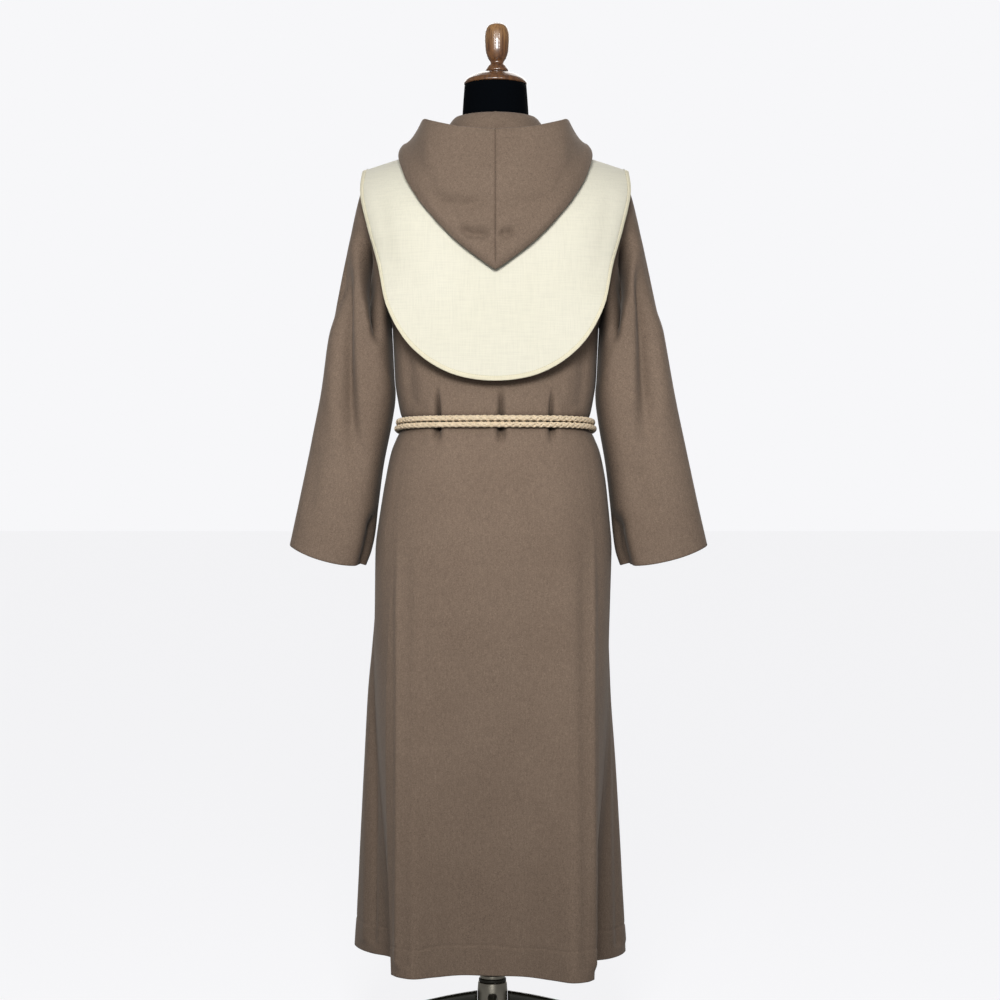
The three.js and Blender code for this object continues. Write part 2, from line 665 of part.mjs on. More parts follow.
function hoodColumn(share) {
  const turn = share * Math.PI;
  const around = (radiusX, radiusBack, radiusFront, z) => new THREE.Vector3(
    radiusX * Math.sin(turn),
    (turn < Math.PI / 2 ? radiusBack : radiusFront) * Math.cos(turn),
    z,
  );
  const seat = around(NECKLINE_X + CLOTH, NECKLINE_BACK_Y + CLOTH, NECKLINE_FRONT_Y + CLOTH, 0);
  const side = seat.y >= 0 ? 1 : -1;
  const level = ridgeZ(0, TUNIC_LIFT) - Math.abs(seat.y) / 4;
  const inset = around(NECKLINE_X, NECKLINE_BACK_Y, NECKLINE_FRONT_Y, 0);
  seat.z = shoulderZ(inset.x, inset.y, fullDepth(level, side), TUNIC_LIFT) + HOOD_SEAT_GAP;
  const top = COLLAR_TOP_Z - COLLAR_FRONT_DROP * smooth(0.35, 1, share);
  const collar = COLLAR_ROLL_DROPS.map((drop, k) => {
    const radius = COLLAR_RADIUS + (k * COLLAR_ROLL) / 2;
    return around(radius, radius + COLLAR_BACK_OUT, radius + COLLAR_FRONT_OUT, top - drop);
  });

  const foldX = along(FOLD_X, share);
  const foldFall = along(FOLD_FALL, share);
  const landX = LANDING_X * Math.sin(turn);
  const landFall = LANDING_FALL * Math.cos(turn);
  const reach = overCape(landX, landFall, HOOD_LIFT).distanceTo(overCape(foldX, foldFall, HOOD_LIFT));
  const back = 1 - HOOD_FOLD / reach;
  const lying = (t, lift) => overCape(mix(landX, foldX, t), mix(landFall, foldFall, t), lift);
  const rim = new THREE.Vector3(along(RIM_X, share), along(RIM_Y, share), along(RIM_Z, share));
  const start = lying(back, HOOD_LIFT + 2 * HOOD_FOLD);
  const outwards = start.clone().sub(lying(back, HOOD_LIFT)).normalize();
  const standing = (t) => mixPoint(start, rim, t).addScaledVector(outwards, HOOD_BULGE * Math.sin(Math.PI * t));
  return [
    seat,
    mixPoint(seat, collar[0], COLLAR_STAND_SHARE),
    ...collar,
    ...LYING_STEPS.map((t) => lying(back * t, HOOD_LIFT)),
    lying(1, HOOD_LIFT + HOOD_FOLD),
    start,
    ...STANDING_STEPS.map(standing),
    rim,
  ];
}

function buildHood(mirror) {
  const columns = HOOD_COLUMNS.map(hoodColumn);
  const grid = columns[0].map((_, i) => columns.map((column) => {
    const point = column[i].clone();
    point.x = mirror * Math.max(point.x, SEAM_GAP / 2);
    return point;
  }));
  const normals = gridNormals(grid);
  normals.forEach((row) => [0, row.length - 1].forEach((j) => {
    row[j].x = 0;
    row[j].normalize();
  }));
  const outerRow = grid.length - 2;
  const outwards = Math.sign(normals[outerRow][0].y);
  return [grid, offsetGrid(grid, normals, -outwards * HOOD_CLOTH)];
}

// ---------------------------------------------------------------- rope belt
const ROPE_SIDES = 8;
const ROPE_CLEARANCE = 2.6;
const BELT_DROP_FRONT = 20;
const BELT_DROP_POWER = 1.5;
const BELT_POINTS = 36;
const BELT_STEPS = 32;
const TAIL_STEPS = 18;
const KNOT_HALF_ANGLE = 5.4;
const KNOT_HALF_SIZES = [24, 14, 21];
const KNOT_PLACE = [0, -128, 1012];

function ropeGeometry(points, steps) {
  const section = new THREE.Shape(Array.from({ length: ROPE_SIDES }, (_, k) => {
    const turn = ((k + 0.5) * 2 * Math.PI) / ROPE_SIDES;
    return new THREE.Vector2(Math.cos(turn), Math.sin(turn)).multiplyScalar(ROPE_DIAMETER / 2);
  }));
  const path = new THREE.CatmullRomCurve3(points, false, 'centripetal');
  return new THREE.ExtrudeGeometry(section, { steps, extrudePath: path, bevelEnabled: false });
}

// One turn of the belt from one side of the knot round the back to the other.
function beltTurn(offset) {
  const points = Array.from({ length: BELT_POINTS + 1 }, (_, k) => {
    const angle = -90 + KNOT_HALF_ANGLE + ((360 - 2 * KNOT_HALF_ANGLE) * k) / BELT_POINTS;
    const front = (1 - Math.sin(radians(angle))) / 2;
    const z = BELT_Z - BELT_DROP_FRONT * front ** BELT_DROP_POWER + offset;
    const [x, y] = ovalPoint(Math.min(z, BELT_Z), angle);
    const out = 1 + (ROPE_DIAMETER / 2 + ROPE_CLEARANCE) / Math.hypot(x, y);
    return new THREE.Vector3(x * out, y * out, z);
  });
  return ropeGeometry(points, BELT_STEPS);
}

// Hanging ends of the belt, from under the knot down the front of the skirt: [x, y, z].
const TAIL_LEFT = [[9, -128, 989.5], [11, -129, 975], [14, -131, 950], [17, -136, 920], [20, -141, 880],
  [22, -145, 840], [23, -148.5, 800], [23, -150.3, 760], [22, -152.2, 720], [22, -154, 680], [21, -155.3, 645],
  [21, -156.8, 620], [21, -159.8, 600]];
const TAIL_RIGHT = [[-9, -128, 989.5], [-12, -128.5, 975], [-16, -130, 950], [-20, -135.5, 920], [-23, -140.7, 880],
  [-26, -144.5, 840], [-28, -147.8, 800], [-29, -149.4, 760], [-30, -150.8, 720], [-30, -152.2, 680],
  [-31, -153.2, 640], [-31, -154.2, 605], [-31, -155.6, 580], [-31, -158.6, 560]];
const END_KNOT_HALF_SIZES = [9, 9, 14];

function tailGeometry(route) {
  return ropeGeometry(route.map((p) => new THREE.Vector3(...p)), TAIL_STEPS);
}

function pebble(centre, halfSizes) {
  const geometry = new THREE.SphereGeometry(1, 12, 8);
  geometry.scale(...halfSizes);
  geometry.translate(...centre);
  return geometry;
}

function endKnot(route) {
  const [x, y, z] = route[route.length - 1];
  return pebble([x, y, z - END_KNOT_HALF_SIZES[2] - SEAM_GAP], END_KNOT_HALF_SIZES);
}

// ---------------------------------------------------------------- dress form
// Sections of the padded torso and neck: height, half-width, depth to the back, depth to the front.
const FORM_SECTIONS = [
  [700, 146, 92, 92], [712, 153, 98, 98], [780, 161, 105, 103], [860, 163, 107, 102], [960, 145, 96, 94],
  [1060, 122, 86, 86], [1150, 129, 98, 96], [1250, 147, 112, 108], [1330, 164, 119, 108], [1400, 176, 114, 96],
  [1425, 177, 105, 89], [1440, 170, 96, 81], [1450, 150, 88, 74], [1460, 120, 77, 65], [1472, 84, 62, 54],
  [1484, 61, 55, 51], [1500, 55.5, 53, 52], [1530, 55, 55, 53], [1565, 53, 53, 52], [1590, 51, 51, 51],
];
const FORM_POWER = 2.15;
const FORM_SIDES = 24;
const TURNED_SIDES = 20;

function formSection([z, halfWidth, back, front]) {
  const power = 2 / FORM_POWER;
  return Array.from({ length: FORM_SIDES }, (_, k) => {
    const turn = (k * 2 * Math.PI) / FORM_SIDES;
    const c = Math.cos(turn);
    const s = Math.sin(turn);
    const depth = s > 0 ? back : front;
    return new THREE.Vector3(
      halfWidth * Math.sign(c) * Math.abs(c) ** power,
      depth * Math.sign(s) * Math.abs(s) ** power,
      z,
    );
  });
}

const CAP_PROFILE = [[0, 1590.4], [51.5, 1590.4], [52.5, 1593], [50, 1598], [40, 1605], [26, 1610], [0, 1612]];
const FINIAL_PROFILE = [
  [0, 1612.4], [18.5, 1612.4], [19, 1615], [15.5, 1621], [10.5, 1627], [13.5, 1634], [17, 1644], [18.9, 1658],
  [19.2, 1670], [17.8, 1680], [14, 1688], [7, 1692.3], [0, 1693.3],
];

function turned(profile, x = 0) {
  const points = profile.map(([radius, z]) => new THREE.Vector2(radius, z));
  const geometry = new THREE.LatheGeometry(points, TURNED_SIDES);
  geometry.rotateX(Math.PI / 2);
  geometry.translate(x, 0, 0);
  return geometry;
}

// ---------------------------------------------------------------- stand
const STAND_X = 5;
const POLE = [[0, 126.4], [14, 126.4], [14, 699.6], [0, 699.6]];
const HUB_COLLAR = [[0, 118.4], [20.5, 118.4], [20.5, 123.5], [18, 126], [0, 126]];
const HUB_RING = [[0, 113], [22.5, 113], [22.5, 118], [0, 118]];
const HUB = [[0, 60], [20, 60], [24.5, 66], [24.5, 98], [23.5, 112.6], [0, 112.6]];
const LEG_COUNT = 4;
const LEG_REACH = 285;
const LEG_ROUTE = [[25, 86], [70, 79], [130, 66], [190, 49], [240, 31], [268, 20], [LEG_REACH, 17]];
const LEG_HALF_WIDTH = [[25, 8], [285, 7]];
const LEG_HALF_HEIGHT = [[25, 11], [240, 8.5], [285, 8]];
const LEG_SECTION = [
  [1, 0.55], [0.55, 1], [-0.55, 1], [-1, 0.55], [-1, -0.55], [-0.55, -1], [0.55, -1], [1, -0.55],
];
const FOOT_INSET = 14;
const FOOT_PROFILE = [[0, 0], [14, 0], [15.5, 2], [15.5, 6], [12, 8.6], [0, 8.6]];

function buildLeg(index) {
  const turn = (index * 2 * Math.PI) / LEG_COUNT;
  const rings = LEG_ROUTE.map(([radius, z]) => LEG_SECTION.map(([across, up]) => new THREE.Vector3(
    radius,
    across * along(LEG_HALF_WIDTH, radius),
    z + up * along(LEG_HALF_HEIGHT, radius),
  )));
  const geometry = ringGeometry(rings);
  geometry.rotateZ(turn);
  geometry.translate(STAND_X, 0, 0);
  return geometry;
}

function buildFoot(index) {
  const turn = (index * 2 * Math.PI) / LEG_COUNT;
  const geometry = turned(FOOT_PROFILE);
  const reach = LEG_REACH - FOOT_INSET;
  geometry.translate(STAND_X + reach * Math.cos(turn), reach * Math.sin(turn), 0);
  return geometry;
}

// ---------------------------------------------------------------- assembly
const group = new THREE.Group();

function add(name, geometry, look) {
  const mesh = new THREE.Mesh(geometry, look);
  mesh.name = name;
  group.add(mesh);
  return mesh;
}

const LOOKS = {
  wool: material(0x7a6858, 0.9),
  cream: material(0xefecdb, 0.85),
  rope: material(0xd9c4a4, 0.8),
  blackCloth: material(0x0c0f14, 0.75),
  wood: material(0x87653f, 0.45),
  steel: material(0x827c6c, 0.4, 0.8),
  darkPaint: material(0x2e2c20, 0.5, 0.3),
};

const tunic = buildTunic();
add('tunic_back', wallGeometry(...tunic.backWall), LOOKS.wool);
add('tunic_front', wallGeometry(...tunic.frontWall), LOOKS.wool);
add('sleeve_left', wallGeometry(...buildSleeve(tunic.leftArmhole, 1)), LOOKS.wool);
add('sleeve_right', wallGeometry(...buildSleeve(tunic.rightArmhole, -1)), LOOKS.wool);
add('shoulder_cape', wallGeometry(...buildCape()), LOOKS.cream);
add('hood_left', wallGeometry(...buildHood(1)), LOOKS.wool);
add('hood_right', wallGeometry(...buildHood(-1)), LOOKS.wool);

add('belt_upper', beltTurn((ROPE_DIAMETER + SEAM_GAP) / 2), LOOKS.rope);
add('belt_lower', beltTurn(-(ROPE_DIAMETER + SEAM_GAP) / 2), LOOKS.rope);
add('belt_knot', pebble(KNOT_PLACE, KNOT_HALF_SIZES), LOOKS.rope);
add('cord_tail_left', tailGeometry(TAIL_LEFT), LOOKS.rope);
add('cord_tail_right', tailGeometry(TAIL_RIGHT), LOOKS.rope);
add('tail_knot_left', endKnot(TAIL_LEFT), LOOKS.rope);
add('tail_knot_right', endKnot(TAIL_RIGHT), LOOKS.rope);

add('form_torso', ringGeometry(FORM_SECTIONS.map(formSection)), LOOKS.blackCloth);
add('neck_cap', turned(CAP_PROFILE), LOOKS.wood);
add('finial', turned(FINIAL_PROFILE), LOOKS.wood);
add('pole', turned(POLE, STAND_X), LOOKS.steel);
add('hub_collar', turned(HUB_COLLAR, STAND_X), LOOKS.steel);
add('hub_ring', turned(HUB_RING, STAND_X), LOOKS.darkPaint);
add('hub', turned(HUB, STAND_X), LOOKS.steel);
for (let k = 0; k < LEG_COUNT; k += 1) {
  add(`leg_${k + 1}`, buildLeg(k), LOOKS.darkPaint);
  add(`foot_${k + 1}`, buildFoot(k), LOOKS.darkPaint);
}

export default group;
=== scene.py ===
"""Nun habit of brown wool with a pointed hood, a cream shoulder cape and a doubled rope belt.

The habit hangs on a limbless dress form on a four-legged stand. The wearer faces -Y, the back of
the habit faces +Y and +X is the wearer's left. Sizes are in millimetres, as a maker writes them,
and turn into metres when a mesh is made.
"""

import logging
import math
from dataclasses import dataclass, field
from enum import Enum
from typing import Sequence

import bpy
import numpy as np
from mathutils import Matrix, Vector

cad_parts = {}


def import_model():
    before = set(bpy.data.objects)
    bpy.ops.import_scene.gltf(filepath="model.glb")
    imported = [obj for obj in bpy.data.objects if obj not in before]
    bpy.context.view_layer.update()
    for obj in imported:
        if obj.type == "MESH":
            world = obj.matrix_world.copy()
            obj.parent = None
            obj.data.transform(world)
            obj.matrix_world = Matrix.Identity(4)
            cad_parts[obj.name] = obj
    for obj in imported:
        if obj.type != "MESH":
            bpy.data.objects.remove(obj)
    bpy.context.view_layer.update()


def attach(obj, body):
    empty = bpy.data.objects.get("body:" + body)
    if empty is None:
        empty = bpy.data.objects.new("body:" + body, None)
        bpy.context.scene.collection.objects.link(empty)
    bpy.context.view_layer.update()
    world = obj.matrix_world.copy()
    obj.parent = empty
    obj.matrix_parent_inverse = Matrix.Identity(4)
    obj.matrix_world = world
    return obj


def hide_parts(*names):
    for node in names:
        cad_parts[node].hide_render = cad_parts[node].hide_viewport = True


Array = np.ndarray
Keys = Sequence[tuple[float, float]]
Colour = tuple[float, float, float]
Triple = tuple[float, float, float]
Socket = bpy.types.NodeSocket
Piece = bpy.types.Object

MM = 0.001
EDGE_ROUNDING = 0.45
LOG = logging.getLogger("habit")


class Side(Enum):
    """Which half of a mirrored piece, as the sign of its x."""

    LEFT = 1
    RIGHT = -1


class Face(Enum):
    """Which face of the garment, as the sign of its y."""

    BACK = 1
    FRONT = -1


# ------------------------------------------------------------------------------ plain geometry


def smooth(low: float, high: float, value: Array | float) -> Array:
    """Soft step from 0 at low to 1 at high.

    Args:
        low: Value where the step starts.
        high: Value where the step is complete.
        value: Value or values to place on the step.

    Returns:
        The height of the step, 0 to 1.
    """
    t = np.clip((np.asarray(value, float) - low) / (high - low), 0, 1)
    return t * t * (3 - 2 * t)


def mix(a: Array | float, b: Array | float, t: Array | float) -> Array:
    """Straight blend from a at t = 0 to b at t = 1."""
    return np.asarray(a + (b - a) * t)


def along(keys: Keys, at: Array | float) -> Array:
    """Smooth value through keys, with flat tangents at turning points.

    Args:
        keys: Pairs of place and value, in rising order of place.
        at: Places to read.

    Returns:
        The value at each place, held at the first and last key beyond them.
    """
    places, values = np.asarray(keys, float).T
    slopes = np.diff(values) / np.diff(places)
    before, after = slopes[:-1], slopes[1:]
    same_way = before * after > 0
    inner = np.where(same_way, 2 * before * after / np.where(same_way, before + after, 1), 0)
    tangents = np.concatenate([slopes[:1], inner, slopes[-1:]])
    held = np.clip(np.asarray(at, float), places[0], places[-1])
    k = np.clip(np.searchsorted(places, held, side="right") - 1, 0, len(places) - 2)
    span = places[k + 1] - places[k]
    t = (held - places[k]) / span
    t2, t3 = t * t, t * t * t
    return (
        values[k] * (2 * t3 - 3 * t2 + 1)
        + tangents[k] * span * (t3 - 2 * t2 + t)
        + values[k + 1] * (3 * t2 - 2 * t3)
        + tangents[k + 1] * span * (t3 - t2)
    )


def curve(stations: Array, shares: Array) -> Array:
    """Points on the centripetal curve through stations.

    Args:
        stations: Points, with the stations on the axis before the last.
        shares: Where to read each curve, 0 at its first station and 1 at its last.

    Returns:
        The points, with one place per share on the axis before the last.
    """
    s = np.asarray(stations, float)
    ends = (2 * s[..., :1, :] - s[..., 1:2, :], 2 * s[..., -1:, :] - s[..., -2:-1, :])
    padded = np.concatenate([ends[0], s, ends[1]], axis=-2)
    cells = s.shape[-2] - 1
    place = np.clip(shares, 0, 1) * cells
    k = np.minimum(place.astype(int), cells - 1)
    t = (place - k)[:, None]
    p0, p1, p2, p3 = (np.take(padded, k + i, axis=-2) for i in range(4))

    def knot(a: Array, b: Array) -> Array:
        """Square root of the distance between stations."""
        return np.sqrt(np.maximum(np.linalg.norm(b - a, axis=-1, keepdims=True), 1e-6))

    d0, d1, d2 = knot(p0, p1), knot(p1, p2), knot(p2, p3)
    start = ((p1 - p0) / d0 - (p2 - p0) / (d0 + d1) + (p2 - p1) / d1) * d1
    finish = ((p2 - p1) / d1 - (p3 - p1) / (d1 + d2) + (p3 - p2) / d2) * d1
    t2, t3 = t * t, t * t * t
    return (
        p1 * (2 * t3 - 3 * t2 + 1)
        + start * (t3 - 2 * t2 + t)
        + p2 * (3 * t2 - 2 * t3)
        + finish * (t3 - t2)
    )


def lengths_along(points: Array) -> Array:
    """Length from the first point of a line to each of its points."""
    steps = np.linalg.norm(np.diff(points, axis=0), axis=-1)
    return np.concatenate([[0.0], np.cumsum(steps)])


def evenly(stations: Sequence[Sequence[float]], shares: Array) -> Array:
    """Points at shares of the length of the curve through stations.

    Args:
        stations: Points of the curve.
        shares: Shares of its length, 0 to 1.

    Returns:
        One point per share.
    """
    fine = curve(np.asarray(stations, float), np.linspace(0, 1, 601))
    run = lengths_along(fine)
    at = np.clip(shares, 0, 1) * run[-1]
    return np.stack([np.interp(at, run, fine[:, axis]) for axis in range(fine.shape[1])], axis=-1)


def unit(vectors: Array) -> Array:
    """The same directions at length 1."""
    size = np.linalg.norm(vectors, axis=-1, keepdims=True)
    return vectors / np.maximum(size, 1e-9)


def rows_and_columns(grid: Array, wraps: bool) -> tuple[Array, Array]:
    """Directions up and across a grid of points at each point.

    Args:
        grid: Points in rows and columns.
        wraps: Whether the last column joins the first.

    Returns:
        The directions from row to row, and those from column to column.
    """
    up = np.empty_like(grid)
    up[1:-1] = grid[2:] - grid[:-2]
    up[0], up[-1] = grid[1] - grid[0], grid[-1] - grid[-2]
    if wraps:
        across = np.roll(grid, -1, axis=1) - np.roll(grid, 1, axis=1)
    else:
        across = np.empty_like(grid)
        across[:, 1:-1] = grid[:, 2:] - grid[:, :-2]
        across[:, 0], across[:, -1] = grid[:, 1] - grid[:, 0], grid[:, -1] - grid[:, -2]
    return up, across


def outward_normals(grid: Array, wraps: bool, outside: Array) -> Array:
    """Unit normals of a grid, turned towards the side that outside points to.

    Args:
        grid: Points in rows and columns.
        wraps: Whether the last column joins the first.
        outside: Rough outward direction at the middle point of the grid.

    Returns:
        One unit normal per point.
    """
    up, across = rows_and_columns(grid, wraps)
    normals = unit(np.cross(across, up))
    middle = normals[grid.shape[0] // 2, grid.shape[1] // 2]
    return normals if float(np.dot(middle, outside)) > 0 else -normals


def closest_on_route(route: Keys, x: Array, z: Array) -> tuple[Array, Array]:
    """Distance from points to a line in the x-z plane, and the share of the line nearest to them.

    Args:
        route: Corners of the line.
        x: The points' x.
        z: The points' z.

    Returns:
        Distances and shares, shaped as x.
    """
    corners = np.asarray(route, float)
    run = lengths_along(corners)
    best = np.full(x.shape, np.inf)
    share = np.zeros(x.shape)
    for start, end, before, after in zip(corners[:-1], corners[1:], run[:-1], run[1:]):
        leg = end - start
        t = np.clip(((x - start[0]) * leg[0] + (z - start[1]) * leg[1]) / (leg @ leg), 0, 1)
        gap = np.hypot(x - start[0] - t * leg[0], z - start[1] - t * leg[1])
        nearer = gap < best
        best = np.where(nearer, gap, best)
        share = np.where(nearer, mix(before, after, t) / run[-1], share)
    return best, share


@dataclass(frozen=True)
class Crease:
    """Soft trough, or ridge where depth is negative, along a line over the cloth."""

    route: Keys
    depth: float
    width: float
    fade_in: float = 0.25
    fade_out: float = 0.25
    widens: float = 1.0

    def push(self, x: Array, z: Array) -> Array:
        """How far the crease moves the cloth outwards at each point.

        Args:
            x: The points' x in millimetres.
            z: The points' z in millimetres.

        Returns:
            Millimetres outwards, negative in a trough.
        """
        gap, share = closest_on_route(self.route, x, z)
        strength = smooth(0, self.fade_in, share + 1e-3) * (1 - smooth(1 - self.fade_out, 1, share - 1e-3))
        width = self.width * mix(1.0, self.widens, share)
        return -self.depth * strength * np.exp(-((gap / width) ** 2))

    def mirrored(self) -> "Crease":
        """The same crease on the other side of the middle."""
        route = [(-x, z) for x, z in self.route]
        return Crease(route, self.depth, self.width, self.fade_in, self.fade_out, self.widens)


def creased(grid: Array, normals: Array, creases: Sequence[Crease], face: Face | None = None) -> Array:
    """The grid with creases pressed into it.

    Args:
        grid: Points in rows and columns.
        normals: Outward direction at each point.
        creases: Creases to press in.
        face: Only points on this face of the garment move, or all where None.

    Returns:
        The moved points.
    """
    push = np.zeros(grid.shape[:2])
    for crease in creases:
        push += crease.push(grid[..., 0], grid[..., 2])
    if face is not None:
        push *= smooth(0, 14, face.value * grid[..., 1])
    return grid + normals * push[..., None]


# ------------------------------------------------------------------------------ meshes


def signed_volume(points: Array, quads: Array) -> float:
    """Six times the volume that quads enclose.

    Args:
        points: Points of the skin.
        quads: Corner numbers of each quad.

    Returns:
        The volume, negative where the quads face inwards.
    """
    a, b, c, d = (points[quads[:, i]] for i in range(4))
    first = np.einsum("ij,ij->i", a, np.cross(b, c)).sum()
    second = np.einsum("ij,ij->i", a, np.cross(c, d)).sum()
    return float(first + second)


def mesh_object(name: str, points: Array, faces: Sequence[Sequence[int]], uvs: Array | None = None) -> Piece:
    """A smooth-shaded mesh object from points in millimetres.

    Args:
        name: Name of the piece.
        points: Points in millimetres.
        faces: Corner numbers of each face.
        uvs: Place on the cloth of each face corner in metres, in the order of the faces.

    Returns:
        The new object, linked to the scene.
    """
    mesh = bpy.data.meshes.new(name)
    mesh.from_pydata((np.asarray(points) * MM).tolist(), [], faces)
    if uvs is not None:
        layer = mesh.uv_layers.new(name="cut")
        layer.data.foreach_set("uv", np.asarray(uvs, np.float32).ravel())
    mesh.polygons.foreach_set("use_smooth", [True] * len(mesh.polygons))
    mesh.update()
    obj = bpy.data.objects.new(name, mesh)
    bpy.context.scene.collection.objects.link(obj)
    return obj


def grid_quads(rows: int, columns: int, wraps: bool) -> tuple[Array, Array]:
    """Corner numbers of a grid's quads, and the same for its unwrapped places on the cloth.

    Args:
        rows: Rows of points.
        columns: Columns of points.
        wraps: Whether the last column joins the first.

    Returns:
        Quads into rows x columns points, and quads into rows x (columns + 1) places.
    """
    i, j = np.meshgrid(np.arange(rows - 1), np.arange(columns if wraps else columns - 1), indexing="ij")
    i, j = i.ravel(), j.ravel()
    corners = ((i, j), (i, j + 1), (i + 1, j + 1), (i + 1, j))
    quads = np.stack([a * columns + b % columns for a, b in corners], axis=1)
    places = np.stack([a * (columns + 1) + b for a, b in corners], axis=1)
    return quads, places


def cloth_places(grid: Array, wraps: bool) -> Array:
    """Place of each point of a grid on its flat cloth, in metres, one column past the last.

    Args:
        grid: Points in rows and columns.
        wraps: Whether the last column joins the first.

    Returns:
        Rows x (columns + 1) pairs of metres across and up.
    """
    closed = np.concatenate([grid, grid[:, :1] if wraps else grid[:, -1:]], axis=1)
    across = np.linalg.norm(np.diff(closed, axis=1), axis=-1)
    up = np.linalg.norm(np.diff(closed, axis=0), axis=-1)
    u = np.concatenate([np.zeros((len(grid), 1)), np.cumsum(across, axis=1)], axis=1)
    u -= u[:, u.shape[1] // 2, None]
    v = np.concatenate([np.zeros((1, closed.shape[1])), np.cumsum(up, axis=0)], axis=0)
    return np.stack([u, v], axis=-1) * MM


def tube_rims(grid: Array) -> list[tuple[Array, Array, Array]]:
    """The two open ends of a tube.

    Args:
        grid: Points in rows and columns, the last column next to the first.

    Returns:
        For each end its corner numbers, its places on the flat cloth, and the direction away from the cloth.
    """
    rows, columns = grid.shape[:2]
    at = np.arange(rows * columns).reshape(rows, columns)
    place = np.arange(rows * (columns + 1)).reshape(rows, columns + 1)
    return [
        (at[0], place[0, :-1], unit(grid[0] - grid[1])),
        (at[-1, ::-1], place[-1, ::-1][1:], unit(grid[-1] - grid[-2])[::-1]),
    ]


def sheet_rim(grid: Array) -> list[tuple[Array, Array, Array]]:
    """The edge all round a sheet.

    Args:
        grid: Points in rows and columns.

    Returns:
        As tube_rims, with one entry.
    """
    rows, columns = grid.shape[:2]
    at = np.arange(rows * columns).reshape(rows, columns)
    place = np.arange(rows * (columns + 1)).reshape(rows, columns + 1)[:, :-1]
    away = np.zeros_like(grid)
    away[0] += unit(grid[0] - grid[1])
    away[-1] += unit(grid[-1] - grid[-2])
    away[:, 0] += unit(grid[:, 0] - grid[:, 1])
    away[:, -1] += unit(grid[:, -1] - grid[:, -2])
    edge, edge_places = (
        np.concatenate([numbers[0], numbers[1:, -1], numbers[-1, ::-1][1:], numbers[1:-1, 0][::-1]])
        for numbers in (at, place)
    )
    return [(edge, edge_places, unit(away.reshape(-1, 3))[edge])]


def cloth_wall(
    name: str, grid: Array, normals: Array, thickness: float, wraps: bool = False
) -> Piece:
    """A closed wall of cloth with rounded raw edges.

    Args:
        name: Name of the piece.
        grid: Points of the outer face in rows and columns, in millimetres.
        normals: Outward direction at each point.
        thickness: Thickness of the cloth.
        wraps: Whether the last column joins the first.

    Returns:
        The new object.
    """
    rows, columns = grid.shape[:2]
    inner = grid - normals * thickness
    middle = ((grid + inner) / 2).reshape(-1, 3)
    count = rows * columns
    quads, places = grid_quads(rows, columns, wraps)
    uv = cloth_places(grid, wraps).reshape(-1, 2)
    points = [grid.reshape(-1, 3), inner.reshape(-1, 3)]
    faces = [quads, quads[:, ::-1] + count]
    uvs = [uv[places], uv[places[:, ::-1]]]
    used = 2 * count
    for ring, ring_places, away in tube_rims(grid) if wraps else sheet_rim(grid):
        points.append(middle[ring] + away * thickness * EDGE_ROUNDING)
        now = np.arange(len(ring))
        after = np.roll(now, -1)
        faces.append(np.stack([ring[after], ring[now], used + now, used + after], axis=1))
        faces.append(np.stack([used + after, used + now, ring[now] + count, ring[after] + count], axis=1))
        place = uv[ring_places]
        strip = np.stack([place[after], place[now], place[now], place[after]], axis=1)
        uvs += [strip, strip]
        used += len(ring)
    all_points = np.concatenate(points)
    all_faces = np.concatenate(faces)
    all_uvs = np.concatenate(uvs)
    if signed_volume(all_points, all_faces) < 0:
        all_faces, all_uvs = all_faces[:, ::-1], all_uvs[:, ::-1]
    return mesh_object(name, all_points, all_faces.tolist(), all_uvs.reshape(-1, 2))


def revolved(name: str, profile: Keys, x: float = 0.0, sides: int = 72) -> Piece:
    """A turned piece round a vertical axis.

    Args:
        name: Name of the piece.
        profile: Pairs of radius and height from the axis at the bottom to the axis at the top.
        x: Place of the axis.
        sides: Facets round the piece.

    Returns:
        The new object.
    """
    radii, heights = np.asarray(profile, float).T
    turn = np.arange(sides) * 2 * math.pi / sides
    ring = np.stack([np.cos(turn), np.sin(turn), np.zeros(sides)], axis=1)
    grid = radii[1:-1, None, None] * ring[None]
    grid[..., 0] += x
    grid[..., 2] = heights[1:-1, None]
    rows = len(grid)
    quads, _ = grid_quads(rows, sides, True)
    bottom, top = rows * sides, rows * sides + 1
    faces = quads.tolist()
    for j in range(sides):
        faces.append([bottom, (j + 1) % sides, j])
        faces.append([top, (rows - 1) * sides + j, (rows - 1) * sides + (j + 1) % sides])
    poles = np.array([[x, 0, heights[0]], [x, 0, heights[-1]]])
    return mesh_object(name, np.concatenate([grid.reshape(-1, 3), poles]), faces)


def rounded_profile(profile: Keys, radius: float, steps: int = 4) -> list[tuple[float, float]]:
    """A turned profile with its corners eased.

    Args:
        profile: Pairs of radius and height.
        radius: How far from each corner the easing starts.
        steps: Facets per corner.

    Returns:
        The profile with each inner corner replaced by a small arc.
    """
    points = [np.array(p, float) for p in profile]
    eased = [tuple(points[0])]
    for before, corner, after in zip(points[:-2], points[1:-1], points[2:]):
        to_before, to_after = before - corner, after - corner
        reach = min(radius, 0.45 * np.linalg.norm(to_before), 0.45 * np.linalg.norm(to_after))
        start = corner + unit(to_before) * reach
        end = corner + unit(to_after) * reach
        for t in np.linspace(0, 1, steps + 1):
            eased.append(tuple((1 - t) ** 2 * start + 2 * t * (1 - t) * corner + t * t * end))
    eased.append(tuple(points[-1]))
    return [(float(r), float(z)) for r, z in eased]


